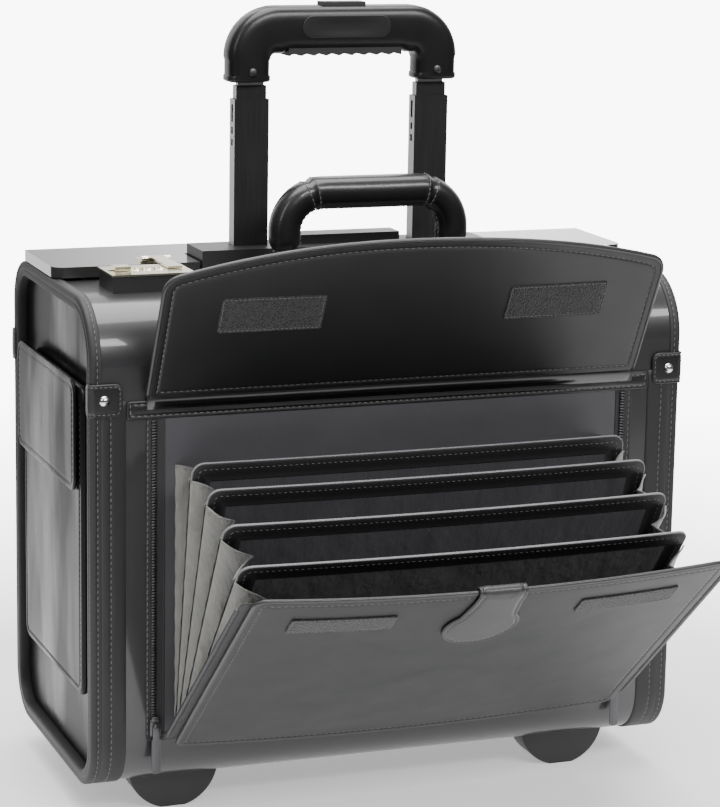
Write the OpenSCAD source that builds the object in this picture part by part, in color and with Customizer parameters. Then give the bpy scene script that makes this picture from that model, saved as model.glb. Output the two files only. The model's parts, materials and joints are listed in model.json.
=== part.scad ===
// Pilot rolling flight case: leather-covered box with a front organizer,
// a raised rear lid, combination locks, a carry handle and a trolley.
// Millimetres, +Z up, the front faces -Y, the end with the side pocket is -X.

/* [Body] */
// Width of the case across the front
body_w = 460; // [380:1:560]
// Depth of the case from front to back
body_d = 225; // [185:1:275]
// Height of the box itself, without feet or lid
body_h = 360; // [300:1:440]
// Clearance between the floor and the box
foot_h = 27; // [22:1:34]
// Thickness of the board-and-leather walls
wall = 4; // [3:0.5:6]
// Radius of the two bottom edges
r_bot = 36; // [28:1:44]
// Radius of the front shoulder
r_top = 45; // [36:1:54]
// Radius of the rear top edge
r_back = 34; // [28:1:42]
// Width of the raised rim round each end panel
rim_w = 10; // [8:0.5:13]
// Depth of the recess of each end panel
recess = 8; // [6:0.5:10]
// Width of the stitched binding strips
bind_w = 26; // [20:1:32]
// Depth of the fixed front deck, from the front face to the lid's edge
deck_d = 104; // [96:1:125]

/* [Lid] */
// Thickness of the raised lid
lid_t = 8; // [6:0.5:10]

/* [Locks] */
// Height of the lock blocks above the deck
lock_h = 12; // [10:0.5:15]
// Distance from the end of the case to each lock's plate
lock_in = 28; // [20:1:34]
// Distance of the locks behind the front face
lock_y = 62; // [56:1:70]

/* [Handle] */
// Distance of each handle post from the middle
grip_x = 66; // [55:1:80]
// Distance of the handle behind the front face
handle_y = 62; // [52:1:74]
// Height of the handle's centre line over its pivots
grip_rise = 52; // [46:1:60]
// Radius of the padded handle
grip_r = 13; // [11:0.5:14]

/* [Trolley] */
// Distance of each trolley tube from the middle
tube_x = 72; // [60:1:87]
// Distance of the tubes behind the lid's front edge
tube_in = 24; // [20:1:30]
// Width of the largest trolley tube
tube_w = 27; // [25:0.5:30]
// Depth of the largest trolley tube
tube_d = 12; // [11:0.5:14]
// How far the largest tubes stand out of the bezel at rest
ext_1 = 110; // [60:1:160]

/* [Wheels and feet] */
// Radius of the rear wheels
wheel_r = 28; // [23:0.2:34]
// Width of the tyres
wheel_w = 22; // [16:1:26]
// Distance of feet and wheels from the case's ends
foot_in = 72; // [60:1:86]

/* [Organizer] */
// Distance from the case's ends to the pocket panel
panel_in = 58; // [52:1:80]
// How much lower the divider sheets are than the panel
div_drop = 32; // [20:1:60]
// Angle between one sheet and the next while the pocket is open
fan_deg = 9.8; // [5:0.1:12]
// Height of the pocket's bottom seam above the box's underside
seam_z = 46; // [40:1:56]
// Distance between neighbouring sheets when the pocket is shut
pitch = 4.2; // [3.6:0.1:5]
// Height of the flap's arched edge over its hinge
flap_l = 133; // [110:1:150]
// How far the lifted flap leans forward
flap_lean = 27.5; // [20:0.5:40]

/* [Hidden] */
$fn = 96;
hw = body_w / 2;
// what fits to what
lid_y = deck_d;
tr_y = deck_d + tube_in;
hd_y = handle_y;
lk_y = lock_y;
lock_l = 60;
lock_x = hw - lock_in - lock_l / 2 - 1;
foot_x = hw - foot_in;
panel_x = hw - panel_in;
zip_x = panel_x + 11;
back_y = body_d - r_back;
hin_y = back_y + 4;
tab_z = body_h - 68;
flap_z = body_h - 69;
panel_l = flap_z - seam_z - 5;
div_l = panel_l - div_drop;
bez_t = body_h + 18;
lid_b = body_h + 2;
lid_tz = lid_b + lid_t;
lk_t = body_h + lock_h + 1.5;
hd_z = body_h + 13;
wall2 = wall + 1.5;
foot_r = 34.6;
wy = body_d - wheel_r - 8;
wz = wheel_r - foot_h;
// outer and inner width of a wheel housing
hous_w = wheel_w + 10;
hous_in = wheel_w + 5;
t1_top = bez_t + ext_1;
t2_top = t1_top + 10;
t3_top = t2_top + 3;
t1_len = ext_1 + 200;
// half width and top of the trolley's grip
gx = tube_x + 19;
gz = t3_top + 56;
skin = 1.2;
e = 0.02;

// ---- helpers ------------------------------------------------------------
// places drawing coordinates (front face y = 0, underside z = 0) in the frame
module at() translate([-sx, -sy, foot_h]) children();
// a box from corner to corner
module bx(a, b) translate(a) cube([b[0] - a[0], b[1] - a[1], b[2] - a[2]]);
// extrudes a (Y, Z) outline along X
module xs(x0, x1) translate([x0, 0, 0]) rotate([90, 0, 90]) linear_extrude(x1 - x0) children();
// extrudes an (X, Z) outline along Y
module ys(y0, y1) translate([0, y1, 0]) rotate([90, 0, 0]) linear_extrude(y1 - y0) children();
// cylinder along X
module cx(x0, x1, y, z, r) translate([x0, y, z]) rotate([0, 90, 0]) cylinder(h = x1 - x0, r = r);
module cy(x, y0, y1, z, r) translate([x, y1, z]) rotate([90, 0, 0]) cylinder(h = y1 - y0, r = r);
// side outline of the case, inset by i
module prof(i) {
  d = body_d; h = body_h;
  polygon([[r_bot, i], [d - r_bot, i], [d - i, r_bot], [d - i, h - r_back], [d - r_back, h - i],
    [r_top, h - i], [i, h - r_top], [i, r_bot]]);
  translate([r_bot, r_bot]) circle(r_bot - i);
  translate([d - r_bot, r_bot]) circle(r_bot - i);
  translate([d - r_back, h - r_back]) circle(r_back - i);
  translate([r_top, h - r_top]) circle(r_top - i);
}
// rectangle with rounded corners
module rr(x0, y0, x1, y1, r) {
  polygon([
    [x0 + r, y0], [x1 - r, y0], [x1, y0 + r], [x1, y1 - r],
    [x1 - r, y1], [x0 + r, y1], [x0, y1 - r], [x0, y0 + r]
  ]);
  for (x = [x0 + r, x1 - r], y = [y0 + r, y1 - r]) translate([x, y]) circle(r);
}
// hinge point of sheet i of the organizer (1 to 5), as the chain leaves it open
function hp(i) = i == 1 ? [-3.2, seam_z]
  : hp(i - 1) + pitch * [-cos((i - 1) * fan_deg), -sin((i - 1) * fan_deg)];
// the origin lies on the floor under the middle of the standing case's outline
sx = -0.95;
sy = (body_d + 5.2 + hp(5)[0] - 4 * cos(5 * fan_deg) - (panel_l + 2) * sin(5 * fan_deg)) / 2;
// puts a sheet drawn upright about its hinge into its open place
module leafed(i) translate([0, hp(i)[0], hp(i)[1]]) rotate([i * fan_deg, 0, 0]) children();
// space for the wheel in the bottom corner
module wheel_space(g) for (s = [-1, 1]) translate([s * foot_x, 0, 0])
  bx([-hous_w / 2 - g, wy - wheel_r - 6 - g, -5], [hous_w / 2 + g, body_d + 5, wz + wheel_r + 5 + g]);

// ---- box ----------------------------------------------------------------
module end_plate(s) color([0.07, 0.07, 0.075]) at() {
  x1 = s < 0 ? -hw + recess : hw - recess - wall;
  difference() { xs(x1, x1 + wall) prof(wall + e); wheel_space(0.3); }
}
module end_panel_left() end_plate(-1);
module end_panel_right() end_plate(1);

// spaces in the top strip for the locks and for the plates of the handle
module lock_hole(g) for (s = [-1, 1]) translate([s * lock_x, lk_y, body_h])
  bx([-lock_l / 2 - g, -19 - g, -6 - g], [lock_l / 2 + g, 19 + g, 40]);
module mount_hole() for (s = [-1, 1]) translate([s * (grip_x + 5), hd_y, body_h])
  bx([-24, -15, -0.6], [24, 15, 20]);

module front_shell() color([0.06, 0.06, 0.065]) at() difference() {
  intersection() {
    xs(-hw + recess, hw - recess) difference() { prof(0); prof(wall); }
    bx([-hw, -5, r_bot], [hw, lid_y, body_h + 5]);
  }
  lock_hole(0);
  mount_hole();
}
module rear_shell() color([0.06, 0.06, 0.065]) at() difference() {
  intersection() {
    xs(-hw + recess, hw - recess) difference() { prof(0); prof(wall); }
    union() {
      bx([-hw, -5, -5], [hw, body_d + 5, r_bot]);
      bx([-hw, back_y - 6, r_bot - e], [hw, body_d + 5, body_h + 5]);
    }
  }
  wheel_space(0);
  bx([-hw + 30, hin_y - 1, body_h - 3.2], [hw - 30, hin_y + 9, body_h + 9]);
}
module binding(s) color([0.05, 0.05, 0.055]) at() difference() {
  union() {
    x0 = s < 0 ? -hw : hw - recess;
    xs(x0, x0 + recess) difference() { prof(-skin); prof(rim_w); }
    x1 = s < 0 ? -hw + recess - e : hw - bind_w;
    intersection() {
      xs(x1, x1 + bind_w - recess + e) difference() { prof(-skin); prof(0); }
      bx([-hw - 5, -5, -5], [hw + 5, body_d + 5, tab_z]);
    }
  }
  wheel_space(0.05);
}
module binding_left() binding(-1);
module binding_right() binding(1);
module corner_tabs() color([0.05, 0.05, 0.055]) at() for (m = [0, 1]) mirror([m, 0, 0])
  for (f = [0, 1]) translate([0, f * body_d, 0]) mirror([0, f, 0]) {
    bx([-hw - 1.5, -skin - 1.5, tab_z - 12.5], [-hw + 24, -skin, tab_z + 12.5]);
    bx([-hw - 1.5, -skin - 1.5, tab_z - 12.5], [-hw, 7, tab_z + 12.5]);
  }
module rivets() color([0.78, 0.78, 0.8]) at() for (m = [0, 1]) mirror([m, 0, 0])
  for (f = [0, 1]) translate([0, f * body_d, 0]) mirror([0, f, 0])
    intersection() {
      translate([-hw + 10, -skin - 1.5 + 1.95, tab_z]) sphere(4.45);
      bx([-hw, -20, tab_z - 20], [-hw + 30, -skin - 1.5, tab_z + 20]);
    }
module frame_bar() color([0.6, 0.6, 0.62]) at() translate([0, lid_y, body_h - wall])
  bx([-hw + recess + wall + 7, -14, -12], [hw - recess - wall - 7, -2, 0]);
module lining() color([0.2, 0.2, 0.21]) at() difference() {
  union() {
    intersection() {
      xs(-hw + recess + wall, hw - recess - wall) difference() { prof(wall); prof(wall2); }
      bx([-hw, -5, -5], [hw, body_d + 5, body_h - 60]);
    }
    for (s = [0, 1]) mirror([s, 0, 0]) intersection() {
      xs(-hw + recess + wall, -hw + recess + wall + 1.5) prof(wall2 - e);
      bx([-hw, -5, -5], [hw, body_d + 5, body_h - 60]);
    }
  }
  wheel_space(0);
}

// ---- feet and wheels ----------------------------------------------------
// half-moon feet with a flat tread
module feet() color([0.03, 0.03, 0.03]) at() for (s = [-1, 1]) intersection() {
  cy(s * foot_x, r_bot - 2, r_bot + 22, foot_r - foot_h - 1.2, foot_r);
  bx([s * foot_x - 40, 0, -foot_h], [s * foot_x + 40, body_d, 0]);
}
module wheel_housings() color([0.04, 0.04, 0.04]) at() for (s = [-1, 1]) translate([s * foot_x, 0, 0]) {
  difference() {
    intersection() {
      bx([-hous_w / 2, wy - wheel_r - 6, -2], [hous_w / 2, body_d, wz + wheel_r + 5]);
      xs(-hous_w, hous_w) union() { prof(0); translate([r_bot, -2]) square([body_d - 2 * r_bot, 10]); }
    }
    bx([-hous_in / 2, wy - wheel_r - 3, -6], [hous_in / 2, body_d + 5, wz + wheel_r + 2.5]);
  }
  bx([-hous_w / 2, wy - 9, -foot_h + 12], [-hous_in / 2, wy + 9, 0]);
  bx([hous_in / 2, wy - 9, -foot_h + 12], [hous_w / 2, wy + 9, 0]);
  cx(1 - hous_w / 2, hous_w / 2 - 1, wy, wz, 4);
}
module tyre(s) color([0.02, 0.02, 0.02]) at() difference() {
  cx(s * foot_x - wheel_w / 2, s * foot_x + wheel_w / 2, wy, wz, wheel_r);
  cx(s * foot_x - wheel_w / 2 - 1, s * foot_x + wheel_w / 2 + 1, wy, wz, wheel_r - 6);
}
module wheel_tyre_left() tyre(-1);
module wheel_tyre_right() tyre(1);
module hub(s) color([0.25, 0.25, 0.26]) at() difference() {
  cx(s * foot_x - wheel_w / 2 + 1, s * foot_x + wheel_w / 2 - 1, wy, wz, wheel_r - 6);
  cx(s * foot_x - wheel_w / 2 - 1, s * foot_x + wheel_w / 2 + 1, wy, wz, 4.06);
  for (a = [0:72:288]) translate([0, wy, wz]) rotate([a, 0, 0])
    cx(s * foot_x - wheel_w, s * foot_x + wheel_w, 0, (wheel_r - 6) / 2 + 2.2, 3.2);
}
module wheel_hub_left() hub(-1);
module wheel_hub_right() hub(1);

// ---- lid ----------------------------------------------------------------
nx = tube_x + tube_w / 2 + 32;
module lid_panel() color([0.07, 0.07, 0.075]) at() {
  difference() {
    translate([0, 0, lid_b]) linear_extrude(lid_t) difference() {
      union() {
        rr(-hw + 1, lid_y, hw - 1, hin_y - 20, 9);
        translate([-hw + 1, lid_y + 30]) square([2 * hw - 2, hin_y - 3.6 - lid_y - 30]);
      }
      translate([-nx, lid_y - 5]) square([2 * nx, tr_y + 17.5 - lid_y + 5]);
    }
  }
  for (s = [-1, 1]) difference() {
    union() {
      cx(s > 0 ? 40.4 : -119.6, s > 0 ? 119.6 : -40.4, hin_y, body_h + 3.6, 3);
      bx([s > 0 ? 40.4 : -119.6, hin_y - 5, body_h + 2.4], [s > 0 ? 119.6 : -40.4, hin_y, body_h + 4.8]);
    }
    cx(-200, 200, hin_y, body_h + 3.6, 1.26);
  }
}
module lid_lining() color([0.2, 0.2, 0.21]) at() difference() {
  bx([-hw + 26, lid_y + 6, body_h - 1.5], [hw - 26, back_y - 14, lid_b]);
  bx([-nx - 4, lid_y - 5, body_h - 5], [nx + 4, tr_y + 21.5, lid_b + 1]);
}
module lid_hinge() color([0.12, 0.12, 0.12]) at() {
  bx([-hw + 30, hin_y - 1, body_h - 3.2], [hw - 30, hin_y + 9, body_h + 0.2]);
  for (r = [[-hw + 30, -120], [-40, 40], [120, hw - 30]]) {
    cx(r[0], r[1], hin_y, body_h + 3.6, 3);
    bx([r[0], hin_y - 1, body_h], [r[1], hin_y + 3, body_h + 3.6]);
  }
  cx(-hw + 31, hw - 31, hin_y, body_h + 3.6, 1.2);
}
// puts what is drawn about the hinge pin of a hasp into its place
module at_hasp(s) translate([s * (lock_x - 21), lid_y + 6, lid_tz + 3.2]) children();
module hasp_bases() color([0.8, 0.74, 0.55]) at() for (s = [-1, 1]) at_hasp(s) {
  bx([-11, 2.4, -3.2], [11, 18, -1.7]);
  for (u = [-11, 6]) {
    cx(u, u + 5, 0, 0, 2.2);
    bx([u, 0, -2.2], [u + 5, 4, 0]);
  }
  cx(-10, 10, 0, 0, 1);
}
module hasp(s) color([0.8, 0.74, 0.55]) at() at_hasp(s) difference() {
  union() {
    cx(-5.5, 5.5, 0, 0, 2.2);
    bx([-5.5, lk_y - lid_y - 8, 0.7], [5.5, 0, 2.2]);
  }
  cx(-12, 12, 0, 0, 1.05);
}
module hasp_left() hasp(-1);
module hasp_right() hasp(1);

// ---- locks --------------------------------------------------------------
function du(k) = -9 + 9 * (k - 1);
module lock_blocks() color([0.04, 0.04, 0.04]) at() for (s = [-1, 1]) translate([s * lock_x, lk_y, 0]) {
  difference() {
    bx([-lock_l / 2, -19, body_h - 6], [lock_l / 2, 19, body_h + lock_h]);
    bx([-13.6, -7, body_h + lock_h - 10], [13.6, 7, body_h + 40]);
    translate([s * 21, 0, 0]) bx([-8, -3, body_h + lock_h - 5], [8, 3, body_h + 40]);
  }
  cx(-14, 14, 0, lk_t - 4, 1.5);
}
module lock_plates() color([0.82, 0.76, 0.58]) at() for (s = [-1, 1]) translate([s * lock_x, lk_y, 0])
  difference() {
    bx([-lock_l / 2 - 1, -20, body_h + lock_h], [lock_l / 2 + 1, 20, lk_t]);
    for (k = [1, 2, 3]) bx([du(k) - 3.4, -6.2, body_h], [du(k) + 3.4, 6.2, body_h + 40]);
    translate([s * 21, 0, 0]) bx([-7.4, -2.6, body_h], [7.4, 2.6, body_h + 40]);
  }
module lock_button(s) color([0.82, 0.76, 0.58]) at() translate([s * (lock_x + 19), lk_y, 0]) {
  bx([-6, -6, lk_t + 0.4], [6, 6, lk_t + 3.4]);
  bx([-3, -2, lk_t - 4], [3, 2, lk_t + 1]);
}
module lock_button_left() lock_button(-1);
module lock_button_right() lock_button(1);
module dial(s, k) color([0.75, 0.7, 0.55]) at() translate([s * lock_x, lk_y, 0]) difference() {
  cx(du(k) - 3, du(k) + 3, 0, lk_t - 4, 5.8);
  cx(du(k) - 4, du(k) + 4, 0, lk_t - 4, 1.56);
}
module dial_left_1() dial(-1, 1);
module dial_left_2() dial(-1, 2);
module dial_left_3() dial(-1, 3);
module dial_right_1() dial(1, 1);
module dial_right_2() dial(1, 2);
module dial_right_3() dial(1, 3);

// ---- carry handle -------------------------------------------------------
module carry_handle() color([0.05, 0.05, 0.055]) at() {
  bend = 28; zt = hd_z + grip_rise;
  for (s = [-1, 1]) {
    translate([s * grip_x, hd_y, hd_z + 13]) cylinder(h = grip_rise - bend - 13, r = grip_r);
    difference() {
      union() {
        translate([s * grip_x, hd_y, hd_z]) cylinder(h = 14, r = 8);
        cx(s * grip_x - 8, s * grip_x + 8, hd_y, hd_z, 7);
      }
      cx(s * grip_x - 12, s * grip_x + 12, hd_y, hd_z, 3.06);
    }
  }
  for (m = [0, 1]) mirror([m, 0, 0]) translate([grip_x - bend, hd_y, zt - bend]) rotate([90, 0, 0])
    rotate_extrude(angle = 90) translate([bend, 0]) circle(grip_r);
  cx(-grip_x + bend, grip_x - bend, hd_y, zt, grip_r);
}
module handle_mounts() color([0.1, 0.1, 0.1]) at() for (s = [-1, 1]) {
  bx([s * (grip_x + 5) - 24, hd_y - 15, body_h - 0.6], [s * (grip_x + 5) + 24, hd_y + 15, body_h + 3]);
  for (u = [-12.4, 8.4]) {
    bx([s * grip_x + u, hd_y - 6, body_h + 2], [s * grip_x + u + 4, hd_y + 6, hd_z]);
    cx(s * grip_x + u, s * grip_x + u + 4, hd_y, hd_z, 6);
  }
  cx(s * grip_x - 12, s * grip_x + 12, hd_y, hd_z, 3);
}

// ---- trolley ------------------------------------------------------------
// one pair of upright bars of the trolley, from z0 to z1
module bars(w, d, z0, z1) for (s = [-1, 1]) translate([s * tube_x, tr_y, 0])
  bx([-w / 2, -d / 2, z0], [w / 2, d / 2, z1]);
// the same pair as tubes with walls t thick
module tubes(w, d, z0, z1, t) difference() {
  bars(w, d, z0, z1);
  bars(w - 2 * t, d - 2 * t, z0 - 1, z1 + 1);
}
module bezel() color([0.04, 0.04, 0.04]) at() difference() {
  union() {
    bx([-nx + 2, lid_y, body_h - wall - 10], [nx - 2, tr_y + 16, bez_t]);
    bx([-nx + 2, lid_y - 2, body_h - wall - 12], [nx - 2, lid_y, body_h - wall]);
    bx([-tube_x + tube_w / 2 + 12, tr_y - 10, bez_t - e], [tube_x - tube_w / 2 - 12, tr_y + 10, bez_t + 7]);
  }
  bars(tube_w + 0.9, tube_d + 0.9, body_h - 60, bez_t + 5);
}
module trolley_frame() color([0.7, 0.7, 0.72]) at() {
  tubes(tube_w + 3, tube_d + 3, 16, body_h - wall - 10, 1.05);
  bx([-tube_x - 24, tr_y - 12, wall2], [tube_x + 24, tr_y + 12, 16]);
}
module side_slots(z, h) bars(2 * tube_w, 3.6, z, z + h);
module tubes_1() color([0.03, 0.03, 0.03]) at() difference() {
  tubes(tube_w, tube_d, t1_top - t1_len, t1_top, 1.1);
  side_slots(t1_top - 17, 13);
  side_slots(t1_top - 26, 5);
  side_slots(t1_top - 35, 5);
}
module tubes_2() color([0.03, 0.03, 0.03]) at()
  tubes(tube_w - 3.4, tube_d - 3.4, t2_top - t1_len + 10, t2_top, 1);
module tubes_3() color([0.03, 0.03, 0.03]) at()
  bars(tube_w - 6.6, tube_d - 6.6, t3_top - t1_len + 20, t3_top + 12);
module grip_shell() color([0.04, 0.04, 0.04]) at() difference() {
  ys(tr_y - 14, tr_y + 14) difference() {
    union() {
      polygon([[-gx, t3_top], [gx, t3_top], [gx, gz - 32], [gx - 32, gz], [-gx + 32, gz], [-gx, gz - 32]]);
      for (s = [-1, 1]) translate([s * (gx - 32), gz - 32]) circle(32);
    }
    translate([-gx, t3_top - 40]) square([2 * gx, 40]);
    rr(-gx + 33, t3_top - 30, gx - 33, t3_top + 24, 12);
  }
  bx([-gx + 46, tr_y - 11, t3_top + 10], [gx - 46, tr_y + 11, t3_top + 27]);
  bars(tube_w - 6.6, tube_d - 6.6, t3_top - 1, t3_top + 12);
  bx([-18, tr_y - 7.4, gz - 9], [18, tr_y + 7.4, gz + 5]);
}
module grip_pad() color([0.1, 0.1, 0.1]) at() difference() {
  bx([-gx + 46, tr_y - 11, t3_top + 19], [gx - 46, tr_y + 11, t3_top + 27]);
  for (i = [-4:4]) cy(i * 10, tr_y - 12, tr_y + 12, t3_top + 13.4, 7);
}
module grip_button() color([0.12, 0.12, 0.12]) at() {
  bx([-17, tr_y - 6.8, gz - 5], [17, tr_y + 6.8, gz + 2.6]);
}

// ---- organizer ----------------------------------------------------------
module pocket_trim() color([0.05, 0.05, 0.055]) at() {
  for (m = [0, 1]) mirror([m, 0, 0]) bx([zip_x - 4, -1.4, seam_z - 8], [zip_x + 8, 0, flap_z - 9]);
  bx([-zip_x + 4, -1.4, seam_z - 8], [zip_x - 4, 0, seam_z - 3]);
  bx([-hw + bind_w, -1.4, flap_z - 9], [hw - bind_w, 0, flap_z - 2.5]);
}
module sheet(i, half, l, t) leafed(i) bx([-half, -t / 2, 1.5], [half, t / 2, l]);
module divider_1() color([0.06, 0.06, 0.065]) at() sheet(1, panel_x - 6, div_l, 1.6);
module divider_2() color([0.06, 0.06, 0.065]) at() sheet(2, panel_x - 6, div_l, 1.6);
module divider_3() color([0.06, 0.06, 0.065]) at() sheet(3, panel_x - 6, div_l, 1.6);
module divider_4() color([0.06, 0.06, 0.065]) at() sheet(4, panel_x - 6, div_l + 3, 1.6);
module organizer_panel() color([0.07, 0.07, 0.075]) at() leafed(5)
  ys(-2, 2) rr(-panel_x, 1.5, panel_x, panel_l, 6);
// one fold of the gusset between sheet i - 1 and sheet i, on both sides
function dirv(a) = [-sin(a), cos(a)];
function nrm(a) = [-cos(a), -sin(a)];
module pleat(i) for (s = [-1, 1]) {
  a0 = (i - 1) * fan_deg; a1 = i * fan_deg;
  h0 = i == 1 ? [-1, seam_z] : hp(i - 1); h1 = hp(i);
  l0 = div_l - 14;
  p0 = h0 + 1.3 * nrm(a0); p1 = h1 - (i == 5 ? 2.6 : 1.3) * nrm(a1);
  xs(s > 0 ? panel_x - 8 : -panel_x + 6.8, s > 0 ? panel_x - 6.8 : -panel_x + 8)
    polygon([p0 + 8 * dirv(a0), p1 + 8 * dirv(a1), p1 + l0 * dirv(a1), p0 + l0 * dirv(a0)]);
}
module pleats_1() color([0.3, 0.32, 0.3]) at() pleat(1);
module pleats_2() color([0.3, 0.32, 0.3]) at() pleat(2);
module pleats_3() color([0.3, 0.32, 0.3]) at() pleat(3);
module pleats_4() color([0.3, 0.32, 0.3]) at() pleat(4);
module pleats_5() color([0.3, 0.32, 0.3]) at() pleat(5);
module hook_strips() color([0.02, 0.02, 0.02]) at() leafed(5) for (s = [-1, 1])
  bx([s * 105 - 38, -3.2, panel_l - 44], [s * 105 + 38, -2, panel_l - 23]);
module pull_tab() color([0.05, 0.05, 0.055]) at() leafed(5) {
  ys(-4, -2) {
    translate([0, panel_l - 54]) circle(26);
    polygon([
      [-26, panel_l - 54], [26, panel_l - 54], [26, panel_l - 8],
      [20, panel_l], [-20, panel_l], [-26, panel_l - 8]
    ]);
  }
  bx([-20, -4, panel_l], [20, 2, panel_l + 2]);
}
module zip_slider(s) color([0.2, 0.2, 0.2]) at() translate([s * zip_x, 0, 0]) {
  bx([-4, -5, seam_z - 4], [4, -1.8, seam_z + 10]);
  bx([-2.5, -7, seam_z + 2], [2.5, -5 + e, seam_z + 6]);
  bx([-3, -7, seam_z - 30], [3, -5.6, seam_z + 5]);
}
module zip_slider_left() zip_slider(-1);
module zip_slider_right() zip_slider(1);
// an arch of radius flap_arc with round corners
module flap_outline() {
  fx = panel_x + 17; flap_arc = 620; rc = 12;
  zc = flap_l - (fx - rc) * (fx - rc) / (2 * flap_arc) - rc;
  intersection() {
    translate([-fx + rc, 1.2]) square([2 * (fx - rc), flap_l]);
    translate([0, flap_l - flap_arc]) circle(flap_arc, $fn = 360);
  }
  translate([-fx, 1.2]) square([2 * fx, zc - 1.2]);
  for (s = [-1, 1]) translate([s * (fx - rc), zc]) circle(rc);
}
module organizer_flap() color([0.06, 0.06, 0.065]) at() translate([0, -2.2, flap_z]) rotate([flap_lean, 0, 0])
  ys(-1.4, 1.4) flap_outline();

// ---- side pocket --------------------------------------------------------
module side_pocket() color([0.06, 0.06, 0.065]) at()
  xs(-hw, -hw + recess) rr(24, 66, body_d - 29, body_h - 64, 10);
module side_flap() color([0.06, 0.06, 0.065]) at()
  xs(-hw - 3.4, -hw - 0.6) rr(32, body_h - 142, body_d - 24, body_h - 60, 9);

end_panel_left();
end_panel_right();
front_shell();
rear_shell();
binding_left();
binding_right();
corner_tabs();
rivets();
frame_bar();
lining();
feet();
wheel_housings();
wheel_tyre_left();
wheel_tyre_right();
wheel_hub_left();
wheel_hub_right();
lid_panel();
lid_lining();
lid_hinge();
hasp_bases();
hasp_left();
hasp_right();
lock_blocks();
lock_plates();
lock_button_left();
lock_button_right();
dial_left_1();
dial_left_2();
dial_left_3();
dial_right_1();
dial_right_2();
dial_right_3();
carry_handle();
handle_mounts();
bezel();
trolley_frame();
tubes_1();
tubes_2();
tubes_3();
grip_shell();
grip_pad();
grip_button();
pocket_trim();
divider_1();
divider_2();
divider_3();
divider_4();
organizer_panel();
pleats_1();
pleats_2();
pleats_3();
pleats_4();
pleats_5();
hook_strips();
pull_tab();
zip_slider_left();
zip_slider_right();
organizer_flap();
side_pocket();
side_flap();
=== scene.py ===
# %% [markdown]
# A pilot's rolling flight case, dressed for its picture.
# The hard frame comes from the imported model: every rigid solid is already there, in metres.
# This script gives each of them a finish, and builds the
# leather, cloth, thread and small metal work that a solid model leaves plain.
# The first cell loads the frame.

# %% Load the frame
import json
import math
import random

import bmesh
import bpy
from mathutils import Matrix, Vector


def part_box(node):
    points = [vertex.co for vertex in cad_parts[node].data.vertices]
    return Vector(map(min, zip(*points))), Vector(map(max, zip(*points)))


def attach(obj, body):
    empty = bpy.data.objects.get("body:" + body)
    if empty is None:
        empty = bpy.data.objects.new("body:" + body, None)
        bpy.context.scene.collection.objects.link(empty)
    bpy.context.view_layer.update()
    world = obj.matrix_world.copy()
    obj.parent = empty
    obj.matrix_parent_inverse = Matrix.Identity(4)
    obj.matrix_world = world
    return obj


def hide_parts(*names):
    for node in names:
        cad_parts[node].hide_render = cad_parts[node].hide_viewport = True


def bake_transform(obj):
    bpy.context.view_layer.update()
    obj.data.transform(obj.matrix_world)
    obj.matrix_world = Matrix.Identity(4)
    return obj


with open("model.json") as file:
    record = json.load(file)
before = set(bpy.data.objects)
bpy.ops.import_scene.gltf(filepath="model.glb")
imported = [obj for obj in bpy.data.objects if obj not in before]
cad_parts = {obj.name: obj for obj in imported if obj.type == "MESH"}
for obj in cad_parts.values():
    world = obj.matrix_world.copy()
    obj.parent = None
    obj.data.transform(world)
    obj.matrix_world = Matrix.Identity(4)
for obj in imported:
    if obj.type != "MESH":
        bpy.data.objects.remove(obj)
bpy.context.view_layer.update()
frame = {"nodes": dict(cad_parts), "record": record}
joints = {j["name"]: j for j in frame["record"]["behaviour"]["joints"]}

# %% [markdown]
# A case maker draws in millimetres from two edges: the front face and the underside.
# The drawing's zero is found from the solids' own boxes, so if the case grows, all that
# is built on it here follows. `mm` turns a drawing point into a point of the scene.

# %% Drawing coordinates
MM = 0.001
front_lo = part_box("front_shell")[0]
rear_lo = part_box("rear_shell")[0]
end_lo, end_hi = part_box("binding_left")[0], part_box("binding_right")[1]
zero = Vector(((end_lo.x + end_hi.x) / 2, front_lo.y, rear_lo.z))


def mm(x, y, z):
    return zero + Vector((x, y, z)) * MM


def drawn(node):
    """A solid's lowest and highest corners in drawing millimetres."""
    lo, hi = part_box(node)
    return (lo - zero) / MM, (hi - zero) / MM


HALF = (end_hi.x - end_lo.x) / 2 / MM
DEPTH = drawn("rear_shell")[1].y
HEIGHT = drawn("front_shell")[1].z
print(f"case: {2 * HALF:.0f} wide, {DEPTH:.0f} deep, {HEIGHT:.0f} high")

# %% [markdown]
# Shader sums read best as sums. One small class holds a value on its way through a
# material's nodes: adding or multiplying two of them makes the Math node for it.
# Colours and points must not pass through Math nodes, which would turn them grey, so they
# go through Mix and Vector Math nodes, made by the one general method `node`.


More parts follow.
